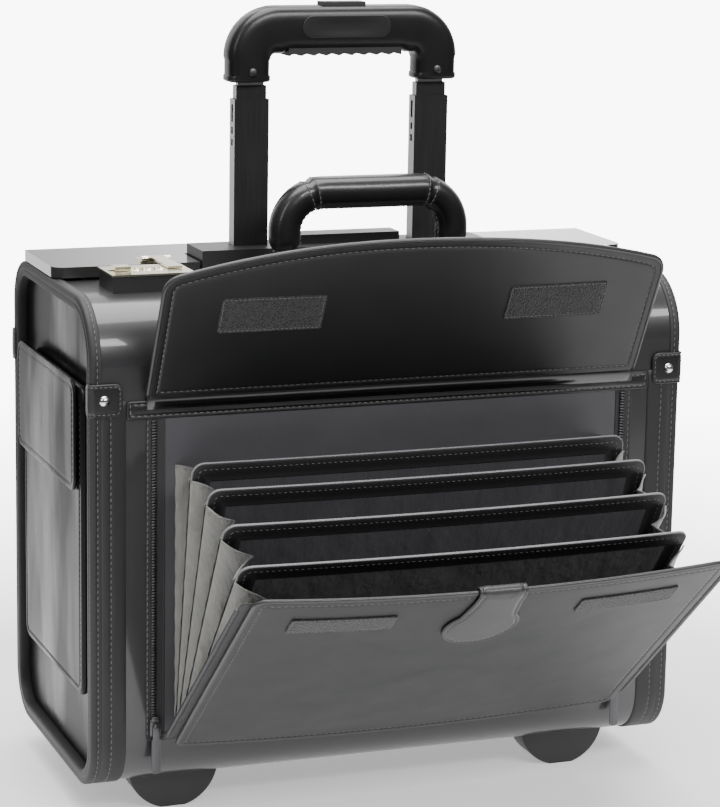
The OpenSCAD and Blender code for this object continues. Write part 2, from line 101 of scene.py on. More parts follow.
# %% A value in a node tree
class Link:
    """A node output that can be used in ordinary arithmetic."""

    def __init__(self, tree, out=None):
        self.tree = tree
        self.out = out

    def node(self, kind, settings=None, sockets=None, out=0):
        made = self.tree.nodes.new(kind)
        for key, value in (settings or {}).items():
            if key == "stops":
                ramp = made.color_ramp.elements
                while len(ramp) < len(value):
                    ramp.new(0.5)
                for stop, (place, shade) in zip(ramp, value):
                    stop.position = place
                    stop.color = (*shade, 1) if len(shade) == 3 else shade
            else:
                setattr(made, key, value)
        for key, value in (sockets or {}).items():
            if isinstance(value, Link):
                self.tree.links.new(value.out, made.inputs[key])
            else:
                made.inputs[key].default_value = value
        return Link(self.tree, made.outputs[out] if made.outputs else None)

    def math(self, operation, a, b=0.0):
        return self.node("ShaderNodeMath", {"operation": operation}, {0: a, 1: b})

    def __add__(self, other):
        return self.math("ADD", self, other)

    def __sub__(self, other):
        return self.math("SUBTRACT", self, other)

    def __rsub__(self, other):
        return self.math("SUBTRACT", other, self)

    def __mul__(self, other):
        return self.math("MULTIPLY", self, other)

    def __gt__(self, other):
        return self.math("GREATER_THAN", self, other)

    def __lt__(self, other):
        return self.math("LESS_THAN", self, other)

    __radd__ = __add__
    __rmul__ = __mul__

    def clamped(self):
        return self.node("ShaderNodeClamp", None, {"Value": self})

    def wave(self):
        """Sine of the value, from 0 to 1."""
        return self.math("SINE", self) * 0.5 + 0.5

    def blend(self, low, high):
        """A colour that runs from low to high as this value runs from 0 to 1."""
        low, high = (c if isinstance(c, Link) else (*c, 1) for c in (low, high))
        return self.node("ShaderNodeMix", {"data_type": "RGBA"}, {0: self, 6: low, 7: high}, 2)


print("Link ready")

# %% [markdown]
# Every finish is made the same way: a place on the piece, a colour, a roughness and a
# height that turns into bumps. `Finish` opens a material with the object's own coordinates,
# gives the patterns that many finishes share, and closes it on one Principled shader.
# Grain sizes are given in millimetres, so a real leather pore stays a real leather pore.


# %% A material under way
class Finish:
    def __init__(self, name):
        self.material = bpy.data.materials.new(name)
        self.material.use_nodes = True
        self.tree = self.material.node_tree
        self.tree.nodes.clear()
        self.start = Link(self.tree)
        self.place = self.start.node("ShaderNodeTexCoord", out="Object")
        self.flat = self.start.node("ShaderNodeTexCoord", out="UV")

    def axis(self, name, source=None):
        return self.start.node("ShaderNodeSeparateXYZ", None, {0: source or self.place}, name)

    def speckle(self, size, detail=2.0, source=None):
        """Soft noise from 0 to 1 with lumps of that size."""
        sockets = {"Vector": source or self.place, "Scale": 1 / (size * MM), "Detail": detail}
        return self.start.node("ShaderNodeTexNoise", None, sockets)

    def stretched(self, size, across):
        """Noise drawn out into streaks; across is the squeeze along X, Y and Z."""
        long = self.start.node("ShaderNodeVectorMath", {"operation": "MULTIPLY"}, {0: self.place, 1: across})
        return self.speckle(size, 3.0, long)

    def cells(self, size, feature="F1", source=None):
        sockets = {"Vector": source or self.place, "Scale": 1 / (size * MM)}
        return self.start.node("ShaderNodeTexVoronoi", {"feature": feature}, sockets, "Distance")

    def stripes(self, pitch, axis, source=None):
        """Rounded ridges at that pitch, from 0 to 1."""
        return (self.axis(axis, source) * (2 * math.pi / (pitch * MM))).wave()

    def worn(self, low, high):
        """1 on rubbed convex edges, 0 elsewhere."""
        ridge = self.start.node("ShaderNodeNewGeometry", out="Pointiness")
        return ((ridge - low) * (1 / (high - low))).clamped()

    def close(self, colour, rough, height=None, depth=0.2, **fixed):
        """depth is the height of the bumps in millimetres."""
        sockets = {"Base Color": colour if isinstance(colour, Link) else (*colour, 1), "Roughness": rough}
        if height is not None:
            bump = {"Height": height, "Distance": depth * MM, "Strength": 1.0}
            sockets["Normal"] = self.start.node("ShaderNodeBump", None, bump)
        sockets.update({key.replace("_", " "): value for key, value in fixed.items()})
        shader = self.start.node("ShaderNodeBsdfPrincipled", None, sockets)
        self.start.node("ShaderNodeOutputMaterial", None, {"Surface": shader})
        return self.material


print("Finish ready")

# %% [markdown]
# Leathers. The box and the lid are covered in smooth leather with a hard glossy coat:
# almost no pores, but the skin over the board is never quite flat, and it is those slow
# waves that break up the reflections. The ends are polished in streaks, and the streaks are
# also painted lighter as a painted highlight. The bindings, tabs
# and handle are cut from a hide with a rolled grain, and the inside of the flap is satin.
# A worn edge loses its gloss and greys a little.


# %% Leathers
def leather(name, colour, grain, depth, rough, coat, waves):
    f = Finish(name)
    pores = f.cells(grain, "SMOOTH_F1")
    creases = f.speckle(grain * 3.1, 4.0)
    slow = f.speckle(46, 1.0)
    rubbed = f.worn(0.515, 0.56)
    tone = f.speckle(70, 2.0)
    deep = tuple(0.62 * c for c in colour)
    shade = rubbed.blend(tone.blend(deep, colour), tuple(1.9 * c + 0.012 for c in colour))
    matt = (f.speckle(18, 3.0) * 0.09 + rough + rubbed * 0.16).clamped()
    height = pores * 0.55 + creases * 0.45 + slow * waves
    return f.close(shade, matt, height, depth, Coat_Weight=coat, Coat_Roughness=0.09, Coat_IOR=1.5,
                   Specular_IOR_Level=0.5)


gloss_leather = leather("gloss_leather", (0.0042, 0.0042, 0.0050), 0.9, 0.03, 0.16, 0.7, 26.0)
trim_leather = leather("trim_leather", (0.0055, 0.0055, 0.006), 1.15, 0.11, 0.33, 0.25, 4.0)
binding_leather = leather("binding_leather", (0.010, 0.010, 0.011), 1.0, 0.13, 0.50, 0.0, 3.0)
satin_leather = leather("satin_leather", (0.007, 0.007, 0.008), 0.8, 0.05, 0.42, 0.0, 14.0)
handle_leather = leather("handle_leather", (0.0055, 0.0055, 0.006), 1.3, 0.13, 0.30, 0.3, 5.0)


def polished_leather():
    """The leather of the two ends, polished in upright streaks by years of being carried, with the streaks
    also painted lighter as a painted highlight.
    """
    f = Finish("polished_leather")
    pores = f.cells(0.9, "F1")
    streaks = ((f.stretched(78, (1, 1, 0.30)) - 0.44) * 4).clamped()
    # painted highlight: the streaks get a lighter colour as well as more gloss, standing in for upright
    # highlights
    shade = streaks.blend((0.0040, 0.0040, 0.0050), (0.0090, 0.0088, 0.0095))
    return f.close(shade, (1 - streaks) * 0.16 + 0.20, pores * 0.5 + streaks * 20.0, 0.03,
                   Specular_IOR_Level=0.08, Coat_Weight=streaks * 0.30, Coat_Roughness=0.14)


polished = polished_leather()
lid_leather = leather("lid_leather", (0.0050, 0.0048, 0.0044), 0.9, 0.012, 0.10, 1.0, 14.0)
# the cut edges of the dividers are given a lighter grey than the leather
grey_edge = leather("grey_edge", (0.10, 0.10, 0.105), 0.6, 0.08, 0.35, 0.2, 2.0)
print("leathers:", [m.name for m in bpy.data.materials if "leather" in m.name])

# %% [markdown]
# Cloths. The gussets are a thin grey cloth with a rubbed coating, the inside of each
# divider is a dark satin lining, and the zip tape and the strips are woven. Threads cross
# at a fraction of a millimetre, so the weave is two rows of ridges that take turns.


# %% Cloths
def weave(f, pitch, across, up, source=None):
    warp = f.stripes(pitch, across, source)
    weft = f.stripes(pitch, up, source)
    over = (f.stripes(pitch * 2, across, source) + f.stripes(pitch * 2, up, source)) > 1.0
    return warp * over + weft * (1 - over)


def cloth(name, low, high, pitch, depth, rough, sheen, across="X", up="Z"):
    f = Finish(name)
    threads = weave(f, pitch, across, up)
    fuzz = f.speckle(0.5, 3.0)
    stain = f.speckle(38, 4.0)
    shade = (threads * 0.35 + stain * 0.65).blend(low, high)
    return f.close(shade, fuzz * 0.1 + rough, threads + fuzz * 0.4 + f.speckle(9, 2.0) * 2.0, depth,
                   Sheen_Weight=sheen, Sheen_Roughness=0.4)


def coated_cloth():
    """Thin cloth with a silvery coating, creased by years of folding, and painted darker towards the inner
    valley of each fold as painted shade.
    """
    f = Finish("gusset_cloth")
    threads = weave(f, 0.62, "Y", "Z")
    stain = f.speckle(30, 4.0)
    creases = f.stretched(7, (1, 1, 0.35))
    rumple = f.speckle(16, 2.0)
    unshaded_cloth = (threads * 0.25 + stain * 0.75).blend((0.130, 0.130, 0.118), (0.420, 0.414, 0.380))
    # painted shade: the colour darkens where the cloth lies deeper inside the fold, nearer the middle of the
    # case
    depth = ((f.start.math("ABSOLUTE", f.axis("X")) - 0.152) * 60).clamped()
    shade = depth.blend((0.018, 0.018, 0.017), unshaded_cloth)
    return f.close(shade, stain * 0.14 + 0.30, threads + creases * 20.0 + rumple * 26.0, 0.12,
                   Specular_IOR_Level=0.6, Sheen_Weight=0.1)


gusset_cloth = coated_cloth()
tape_cloth = cloth("tape_cloth", (0.012, 0.012, 0.013), (0.034, 0.034, 0.036), 0.85, 0.12, 0.75, 0.2)
wall_cloth = cloth("wall_cloth", (0.046, 0.045, 0.051), (0.080, 0.078, 0.087), 0.7, 0.05, 0.36, 0.1)


def sheet_lining():
    """Dark satin lining that hangs in soft upright folds, painted darker in their hollows as painted shade.
    """
    f = Finish("sheet_lining")
    folds = f.stretched(17, (1, 1, 0.10))
    fine_folds = f.stretched(6, (1, 1, 0.16))
    threads = weave(f, 0.6, "X", "Z")
    # painted shade: the fold noise also sets the colour, lighter on the crests and darker in the hollows
    shade = (folds * 0.6 + f.speckle(30, 3.0) * 0.4).blend((0.030, 0.029, 0.033), (0.082, 0.079, 0.088))
    return f.close(shade, f.speckle(4) * 0.12 + 0.36, folds * 34.0 + fine_folds * 9.0 + threads * 0.5, 0.09,
                   Specular_IOR_Level=0.6, Sheen_Weight=0.15)


def hook_pile():
    """A strip of hook fastener: stiff dark bristles in rows."""
    f = Finish("hook_pile")
    rows = f.start.node("ShaderNodeVectorMath", {"operation": "MULTIPLY"}, {0: f.place, 1: (1, 0.7, 0.8)})
    bristle = f.cells(1.1, "F1", rows)
    fuzz = f.speckle(0.45, 3.0)
    shade = (bristle * 1.4 + fuzz * 0.3).clamped().blend((0.055, 0.055, 0.057), (0.004, 0.004, 0.004))
    return f.close(shade, fuzz * 0.15 + 0.72, (1 - bristle) + fuzz * 0.5, 0.55, Sheen_Weight=0.25)


board_cloth = sheet_lining()
hook_cloth = hook_pile()


def twisted_thread():
    f = Finish("waxed_thread")
    twist = ((f.axis("X") + f.axis("Y") + f.axis("Z")) * (2 * math.pi / (0.9 * MM))).wave()
    shade = (twist * 0.6 + f.speckle(14) * 0.4).blend((0.060, 0.060, 0.058), (0.170, 0.168, 0.160))
    return f.close(shade, f.speckle(2) * 0.15 + 0.42, twist, 0.12, Sheen_Weight=0.2)


thread = twisted_thread()
print("cloths and thread ready")

# %% [markdown]
# Mouldings and metals. Moulded plastic has a spark-eroded grain far finer than leather and
# a slow mottle. Rubber is duller and greyer. The lock plates are pale brass under lacquer,
# rolled in one direction, so their noise is drawn out along the roll. Anodised tube shows
# long faint draw lines, and its narrow sides are painted bright, a painted highlight along each tube.


# %% Plastics and rubber
def moulding(name, colour, rough, grain=0.45, depth=0.03, gloss=0.4):
    f = Finish(name)
    spark = f.speckle(grain, 2.0)
    rubbed = f.worn(0.52, 0.58)
    mottle = f.speckle(26, 3.0)
    body = mottle.blend(tuple(0.75 * c for c in colour), colour)
    shade = rubbed.blend(body, tuple(2.2 * c + 0.01 for c in colour))
    return f.close(shade, mottle * 0.08 + rough - rubbed * 0.05, spark, depth, Specular_IOR_Level=gloss)


case_plastic = moulding("case_plastic", (0.007, 0.007, 0.0075), 0.40)
grip_plastic = moulding("grip_plastic", (0.007, 0.007, 0.0075), 0.28, 0.6, 0.02, 0.5)
grip_rubber = moulding("grip_rubber", (0.010, 0.010, 0.011), 0.58, 0.8, 0.05, 0.35)
hub_plastic = moulding("hub_plastic", (0.060, 0.061, 0.063), 0.42)


def tyre_rubber():
    f = Finish("tyre_rubber")
    dust = f.speckle(7, 5.0)
    scuffs = f.stretched(3.0, (0.25, 1, 1))
    shade = (dust * 0.6 + scuffs * 0.4).blend((0.012, 0.012, 0.012), (0.050, 0.049, 0.047))
    return f.close(shade, dust * 0.2 + 0.62, f.speckle(0.7) + scuffs * 0.6, 0.08)


tyre = tyre_rubber()


# %% Metals
def metal(name, colour, rough, along, streak=0.9, depth=0.008, **fixed):
    """Along squeezes the noise, so that the scratches run the way the metal was rolled."""
    f = Finish(name)
    lines = f.stretched(streak, along)
    smears = f.speckle(11, 3.0)
    rubbed = f.worn(0.52, 0.58)
    shade = (smears * 0.7 + lines * 0.3).blend(tuple(0.82 * c for c in colour), colour)
    return f.close(shade, lines * 0.12 + smears * 0.10 + rough - rubbed * 0.06, lines, depth,
                   Metallic=1.0, **fixed)


pale_brass = metal("pale_brass", (0.86, 0.80, 0.62), 0.16, (0.04, 1, 1))
nickel = metal("nickel", (0.80, 0.80, 0.81), 0.07, (1, 1, 1), 2.0, 0.004)
bright_bar = metal("bright_bar", (0.66, 0.67, 0.69), 0.28, (0.05, 1, 1))
gun_metal = metal("gun_metal", (0.11, 0.11, 0.115), 0.30, (1, 1, 0.1))
black_enamel = moulding("black_enamel", (0.012, 0.012, 0.013), 0.26, 0.9, 0.015, 0.6)


def anodised_tube():
    """Black on the wide faces; the narrow sides, picked by which way they face, are painted bright as a
    painted highlight.
    """
    f = Finish("anodised_tube")
    facing = f.axis("X", f.start.node("ShaderNodeNewGeometry", out="Normal"))
    # painted highlight: faces that point along X are given bright metal instead of black
    side = f.start.math("ABSOLUTE", facing) > 0.8
    draw = f.stretched(0.8, (1, 1, 0.02))
    black = draw.blend((0.034, 0.034, 0.035), (0.060, 0.060, 0.061))
    bright = draw.blend((0.50, 0.51, 0.53), (0.66, 0.67, 0.69))
    return f.close(side.blend(black, bright), draw * 0.10 + 0.34, draw, 0.01,
                   Metallic=0.75, Specular_IOR_Level=0.5)


tube_finish = anodised_tube()


def dial_brass():
    """Brass with fine lines drawn out along the dial's axis."""
    f = Finish("dial_brass")
    lines = f.stretched(0.5, (0.2, 1, 1))
    shade = lines.blend((0.66, 0.60, 0.42), (0.84, 0.77, 0.58))
    return f.close(shade, lines * 0.15 + 0.2, lines, 0.01, Metallic=1.0)


dial_metal = dial_brass()
# the print of the dial numbers, and also the dark crosses on the grip screws as painted shade
ink_and_shade = moulding("ink_and_shade", (0.006, 0.006, 0.006), 0.55, 0.3, 0.01)
print("hard finishes ready")

# %% [markdown]
# The rigid solids keep their own shape. A solid model's edges are knife sharp, which no
# real part's are, so each gets a small bevel that follows its material: plastic rounds
# more than sheet metal. Shading is smooth across the bevel and flat on the faces.


# %% Dress the rigid solids
def dress(node, material, edge, segments=3, angle=34):
    solid = frame["nodes"][node]
    solid.data.materials.clear()
    solid.data.materials.append(material)
    if edge:
        bevel = solid.modifiers.new("edge", "BEVEL")
        bevel.width = edge * MM
        bevel.segments = segments
        bevel.limit_method = "ANGLE"
        bevel.angle_limit = math.radians(angle)
        bevel.harden_normals = True
    solid.data.polygons.foreach_set("use_smooth", [True] * len(solid.data.polygons))
    return solid


RIGID = {
    "end_panel_left": (polished, 0), "end_panel_right": (polished, 0),
    "front_shell": (gloss_leather, 0.5), "rear_shell": (gloss_leather, 0.5),
    "rivets": (nickel, 0), "frame_bar": (bright_bar, 0.8), "lining": (wall_cloth, 0),
    "feet": (case_plastic, 1.4), "wheel_housings": (case_plastic, 1.0),
    "wheel_hub_left": (hub_plastic, 0.6), "wheel_hub_right": (hub_plastic, 0.6),
    "lid_lining": (wall_cloth, 0.3), "lid_hinge": (black_enamel, 0.3),
    "hasp_bases": (pale_brass, 0.3), "hasp_left": (pale_brass, 0.3), "hasp_right": (pale_brass, 0.3),
    "lock_blocks": (case_plastic, 0.8), "lock_plates": (pale_brass, 0.45),
    "bezel": (case_plastic, 1.3), "trolley_frame": (bright_bar, 0.3),
    "tubes_1": (tube_finish, 0.5), "tubes_2": (tube_finish, 0.4), "tubes_3": (bright_bar, 0.4),
}
for node, (material, edge) in RIGID.items():
    dress(node, material, edge)
print("dressed", len(RIGID), "solids")

# %% [markdown]
# Soft pieces are built point by point. `skin` joins a row of cross-sections into a surface,
# which makes strips, beads and tubes. `piece` turns points and faces into an object, says
# which body carries it, gives it its finish, and hides the plain solid
# that it stands for.


# %% Making a piece
def skin(rings, around=True, along=False, caps=False):
    """Points and faces of a surface through rings that all have as many points."""
    n = len(rings[0])
    points = [p for ring in rings for p in ring]
    faces = []
    for i in range(len(rings) - (0 if along else 1)):
        a, b = i * n, (i + 1) % len(rings) * n
        for j in range(n - (0 if around else 1)):
            k = (j + 1) % n
            faces.append((a + j, a + k, b + k, b + j))
    if caps:
        faces.append(tuple(reversed(range(n))))
        faces.append(tuple(range(len(points) - n, len(points))))
    return points, faces


def together(parts):
    """Several (points, faces) as one."""
    points, faces = [], []
    for some_points, some_faces in parts:
        base = len(points)
        points.extend(some_points)
        faces.extend(tuple(base + i for i in face) for face in some_faces)
    return points, faces


def piece(name, shape, body, material, replaces=(), closed=True, smooth=True):
    points, faces = shape
    mesh = bpy.data.meshes.new(name)
    mesh.from_pydata([tuple(p) for p in points], [], faces)
    if closed:
        work = bmesh.new()
        work.from_mesh(mesh)
        bmesh.ops.recalc_face_normals(work, faces=work.faces)
        work.to_mesh(mesh)
        work.free()
    mesh.materials.append(material)
    mesh.polygons.foreach_set("use_smooth", [smooth] * len(mesh.polygons))
    made = bpy.data.objects.new(name, mesh)
    bpy.context.scene.collection.objects.link(made)
    if body:
        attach(made, body)
    if replaces:
        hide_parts(*replaces)
    return made


print("piece ready")

# %% [markdown]
# Leather and cloth parts are cut from an outline. `cut` rounds the corners of a drawn
# outline and walks round it in even steps, as a knife would. `inward` gives the same
# outline some millimetres in, which is where a seam runs.


# %% Cutting an outline
def cut(corners, radii, step=3.0):
    """Points round a polygon (anticlockwise) whose corners are rounded."""
    count = len(corners)
    arcs = []
    for i in range(count):
        here = Vector(corners[i])
        back = (Vector(corners[i - 1]) - here).normalized()
        on = (Vector(corners[(i + 1) % count]) - here).normalized()
        half = back.angle(on) / 2
        if radii[i] < 0.01 or half > math.pi / 2 - 0.01:
            arcs.append([here])
            continue
        reach = radii[i] / math.tan(half)
        middle = here + (back + on).normalized() * radii[i] / math.sin(half)
        first, last = here + back * reach - middle, here + on * reach - middle
        pieces = max(3, round(first.angle(last) * radii[i] / step) + 2)
        turn = first.angle_signed(last)
        arcs.append([middle + Matrix.Rotation(-turn * k / pieces, 2) @ first for k in range(pieces + 1)])
    line = []
    for i in range(count):
        line.extend(arcs[i])
        start, stop = arcs[i][-1], arcs[(i + 1) % count][0]
        pieces = round((stop - start).length / step)
        line.extend(start.lerp(stop, k / pieces) for k in range(1, pieces))
    return line


def outward(line):
    """The outward direction at each point of a closed anticlockwise line."""
    found = []
    for i in range(len(line)):
        run = line[(i + 1) % len(line)] - line[i - 1]
        found.append(Vector((run.y, -run.x)).normalized())
    return found


def inward(line, distance):
    """The line moved inward, with what would cross in a corner gathered where the sides meet."""
    normals = outward(line)
    moved = [p - n * distance for p, n in zip(line, normals)]
    count = len(line)
    near = [k for k in range(-12, 13) if abs(k) < count // 2]
    caught = [min((moved[i] - line[(i + k) % count]).length for k in near) < distance * 0.985
              for i in range(count)]
    for i in range(count):
        if caught[i] and not caught[i - 1]:
            run = 1
            while caught[(i + run) % count] and run < count:
                run += 1
            before, after = i - 1, (i + run) % count
            ahead = Vector((-normals[before].y, normals[before].x))
            gap = moved[after] - moved[before]
            across = ahead.dot(normals[after])
            reach = gap.dot(normals[after]) / across if abs(across) > 0.05 else gap.length / 2
            meeting = moved[before] + ahead * min(max(reach, 0.0), gap.length)
            for k in range(run):
                moved[(i + k) % count] = meeting
    return moved


def merged(rings, faces, least=0.7):
    """Faces of a skin over the rings, with points of a ring that almost touch made one."""
    count = len(rings[0])
    first = []
    for row, ring in enumerate(rings):
        names = list(range(row * count, (row + 1) * count))
        for i in range(1, count):
            if (ring[i] - ring[names[i - 1] - row * count]).length < least:
                names[i] = names[i - 1]
        for i in range(count - 1, 0, -1):
            if names[i] != names[0] and (ring[i] - ring[0]).length < least:
                names[i] = names[0]
            else:
                break
        first.extend(names)
    slim = []
    for face in faces:
        named = [first[i] for i in face]
        kept = [a for k, a in enumerate(named) if a != named[k - 1]]
        if len(kept) > 2:
            slim.append(tuple(kept))
    return slim


def round_rect(x0, y0, x1, y1, r, step=3.0):
    return cut([(x0, y0), (x1, y0), (x1, y1), (x0, y1)], [r] * 4, step)


print("round_rect of 20 by 10:", len(round_rect(0, 0, 20, 10, 3)), "points")

# %% [markdown]
# A leather part is two skins over a stiffener, turned in and sewn near its edge. Seen in
# section it has a rounded edge, a dent where the thread pulls it down, and a slightly
# stuffed middle. `leaf` builds that from an outline: a set of rings from the edge inward,
# each with its own height, front and back. `place` says where a point of the flat cut
# lies on the case, so one function can bend, bow or fold the part as it is made.


# %% A sewn leather part
SEAM = (0.0, 0.25, 0.7, 1.3, 2.1, 2.8, 3.3, 3.7, 4.1, 4.6, 5.2, 6.2, 7.6)


def leaf_height(d, thick, seam_in, groove, filling):
    """Half height of the part at distance d from its edge, over filling of a given height."""
    edge = min(1.0, d / (thick * 0.5))
    body = thick / 2 * math.sqrt(max(0.0, 1 - (1 - edge) ** 2))
    dent = groove * math.exp(-(((d - seam_in) / 0.75) ** 2))
    return body - dent + filling


def leaf_shape(line, place, thick=2.4, seam_in=3.7, groove=0.45, stuffed=0.6, back=None, rows=14, seam=SEAM):
    """back is how much the back is stuffed; the front is on the side of positive w."""
    back = stuffed if back is None else back
    middle = sum(line, Vector((0, 0))) / len(line)
    half_u = max(abs(p.x - middle.x) for p in line)
    half_v = max(abs(p.y - middle.y) for p in line)

    def eased(inside, half):
        t = min(1.0, max(0.0, inside / min(46.0, 0.85 * half)))
        return t * t * (3 - 2 * t)

    def dome(p, d):
        """How full the part is at p: full in the middle, nothing at the seams."""
        return (min(1.0, d / seam[-1]) ** 2 * eased(half_u - abs(p.x - middle.x), half_u)
                * eased(half_v - abs(p.y - middle.y), half_v))

    rings = [(d, inward(line, d)) for d in seam]
    for k in range(1, rows + 1):
        share = k / (rows + 0.4)
        rings.append((seam[-1] + 1, [p.lerp(middle, share) for p in rings[len(seam) - 1][1]]))
    front, rear = [], []
    for d, ring in rings:
        front.append([place(p.x, p.y, leaf_height(d, thick, seam_in, groove, stuffed * dome(p, d)))
                      for p in ring])
        rear.append([place(p.x, p.y, -leaf_height(d, thick, seam_in, groove, back * dome(p, d)))
                     for p in ring])
    top = skin(front)
    under = skin(rear)
    n = len(line)
    flat = [ring for d, ring in rings]
    for side in (top, under):
        side[1].append(tuple(range(len(side[0]) - n, len(side[0]))))
    points, faces = together([(top[0], merged(flat, top[1])), (under[0], merged(flat, under[1]))])
    lower = len(top[0])
    # the first rings of both skins lie on each other at the very edge
    faces = [tuple(i - lower if lower <= i < lower + n else i for i in face) for face in faces]
    kept = sorted({i for face in faces for i in face})
    new = {old: k for k, old in enumerate(kept)}
    return [points[i] for i in kept], [tuple(new[i] for i in face) for face in faces]


print("leaf ready, seam rings at", SEAM)

# %% [markdown]
# Stitches are what the eye measures leather goods by. Each one is a short fat thread that
# rises out of a needle hole and dips into the next. `sew` walks along a line of points,
# drops one every few millimetres, and leans each a few degrees, as a lockstitch does.


# %% Stitches
def stitch(middle, along, out, long, fat, lean):
    """One stitch: five rings of six points."""
    side = along.cross(out).normalized()
    along = (along + side * lean).normalized()
    side = along.cross(out).normalized()
    rings = []
    for t in (-1.0, -0.72, 0.0, 0.72, 1.0):
        swell = fat * (0.35 + 0.65 * math.sqrt(max(0.0, 1 - t * t * 0.9)))
        heart = middle + along * (t * long / 2) - out * (fat * 1.1 * t * t)
        rings.append([heart + (side * math.cos(a) + out * math.sin(a)) * swell
                      for a in (k * math.pi / 3 for k in range(6))])
    return skin(rings, caps=True)


def sew(line, outs, pitch=4.6, long=3.5, fat=0.42, lean=0.10, closed=False):
    """Stitches along points of the scene; outs is the way out of the leather at each."""
    if closed:
        line, outs = line + line[:1], outs + outs[:1]
    runs = [(b - a).length for a, b in zip(line, line[1:])]
    whole = sum(runs)
    count = max(1, round(whole / (pitch * MM)))
    made, i, done = [], 0, 0.0
    for k in range(count):
        target = (k + 0.5) * whole / count
        while i < len(runs) - 1 and done + runs[i] < target:
            done += runs[i]
            i += 1
        t = (target - done) / max(runs[i], 1e-9)
        spot = line[i].lerp(line[i + 1], t)
        out = outs[i].lerp(outs[i + 1], t).normalized()
        along = (line[i + 1] - line[i]).normalized()
        made.append(stitch(spot, along, out, long * MM, fat * MM, lean))
    return together(made)


def seam_line(line, place, inset, lift, part=None):
    """The seam of a leaf in the scene, and the way out of it: its points and directions."""
    flat = inward(line, inset)
    if part:
        flat = [p for p in flat if part(p)]
    spots = [place(p.x, p.y, lift) for p in flat]
    outs = [(place(p.x, p.y, lift + 1) - place(p.x, p.y, lift)).normalized() for p in flat]
    return spots, outs


print("a metre of seam takes", round(1000 / 4.6), "stitches")

# %% [markdown]
# A strip that follows a line, such as a binding or a piping, is a small cross-section
# carried along it. `strip` takes the line with two directions at each of its points, and
# the section as (across, out) pairs in millimetres.


# %% Strips and beads
def strip(line, sides, outs, section, closed=False):
    rings = [[p + (s * a + o * h) * MM for a, h in section] for p, s, o in zip(line, sides, outs)]
    return skin(rings, along=closed, caps=not closed)


def circle(r, count=10, squash=1.0):
    return [(r * math.cos(2 * math.pi * k / count), squash * r * math.sin(2 * math.pi * k / count))
            for k in range(count)]


def block(lo, hi, r, steps=3):
    """A moulded block: a box of drawing millimetres with rolled edges."""
    work = bmesh.new()
    bmesh.ops.create_cube(work, size=1)
    lo, hi = Vector(lo), Vector(hi)
    for v in work.verts:
        v.co = Vector((lo[i] + (hi[i] - lo[i]) * (v.co[i] + 0.5) for i in range(3)))
    bmesh.ops.bevel(work, geom=list(work.edges), offset=r, segments=steps, profile=0.5, affect="EDGES")
    work.verts.index_update()
    shape = [mm(*v.co) for v in work.verts], [tuple(v.index for v in f.verts) for f in work.faces]
    work.free()
    return shape


print("strip ready")

# %% [markdown]
# The box is held together by leather-covered rims round its two ends. On the outside a
# wide binding strip runs from the front corner tab down, under and up the back, sewn along
# its middle. Both follow the side outline of the case, so that outline is drawn once.

# %% The side outline
R_BOTTOM, R_TOP, R_BACK = 36, 45, 34
side_line = cut([(0, 0), (DEPTH, 0), (DEPTH, HEIGHT), (0, HEIGHT)], [R_BOTTOM, R_BOTTOM, R_BACK, R_TOP], 4.0)
side_out = outward(side_line)
TAB_Z = (drawn("corner_tabs")[0].z + drawn("corner_tabs")[1].z) / 2
RIM = [(8.2, -9.6), (7.6, -10.0), (1.6, -10.0), (0.5, -9.7), (0.05, -8.9), (0.0, -7.0), (0.0, -5.6),
       (0.2, -5.0), (0.4, -4.5), (0.2, -4.0), (0.0, -3.2), (0.0, -1.6), (0.25, -0.4), (0.9, 0.6),
       (1.9, 1.15), (3.4, 1.25), (4.7, 1.2), (5.2, 0.95), (5.7, 1.15), (7.4, 1.2), (8.3, 0.9), (8.6, 0.2),
       (8.4, -1.0)]
BINDING = [(7.9, -0.2), (7.9, 1.0), (9.0, 1.2), (12.4, 1.25), (14.2, 1.2), (14.9, 0.95), (15.6, 1.2),
           (18.0, 1.25), (22.5, 1.25), (24.6, 1.15), (25.6, 0.85), (26.1, 0.35), (26.2, -0.2)]


def rim_points(end):
    """The outline on one end, with the ways in along X and out of the wrap."""
    inside = Vector((-end, 0, 0))
    spots = [mm(end * HALF, p.x, p.y) for p in side_line]
    outs = [Vector((0, n.x, n.y)) for n in side_out]
    return spots, [inside] * len(spots), outs


def wrap_run(end):
    """The part of the outline below the corner tabs: down the front, under and up the back."""
    count = len(side_line)
    top = [i for i in range(count) if side_line[i].y > TAB_Z]
    first = (max(top) + 1) % count
    order = [(first + k) % count for k in range(count - len(top))]
    spots, sides, outs = rim_points(end)
    return [spots[i] for i in order], [sides[i] for i in order], [outs[i] for i in order]


# %% Rims and bindings
def shifted(spots, sides, outs, across, out):
    return [p + (s * across + o * out) * MM for p, s, o in zip(spots, sides, outs)]


for end, side in ((-1, "left"), (1, "right")):
    spots, sides, outs = rim_points(end)
    piece(f"rim_{side}", strip(spots, sides, outs, RIM, closed=True), "case", binding_leather,
          [f"binding_{side}"])
    run, run_sides, run_outs = wrap_run(end)
    piece(f"wrap_binding_{side}", strip(run, run_sides, run_outs, BINDING), "case",
          binding_leather)
    threads = [sew(shifted(spots, sides, outs, 5.2, 1.05), outs, closed=True),
               sew(shifted(spots, sides, outs, 0.55, -4.4), [-s for s in sides], closed=True),
               sew(shifted(run, run_sides, run_outs, 14.9, 1.1), run_outs)]
    piece(f"binding_thread_{side}", together(threads), "case", thread)
print("rims and bindings:", len(side_line), "stations round the outline")

# %% [markdown]
# A leather tab is folded round each upper corner and held by a domed rivet. It is one
# sewn leaf, and `place` bends it: the flat cut's length runs in along the wrap, round a
# small radius and back along the end face.


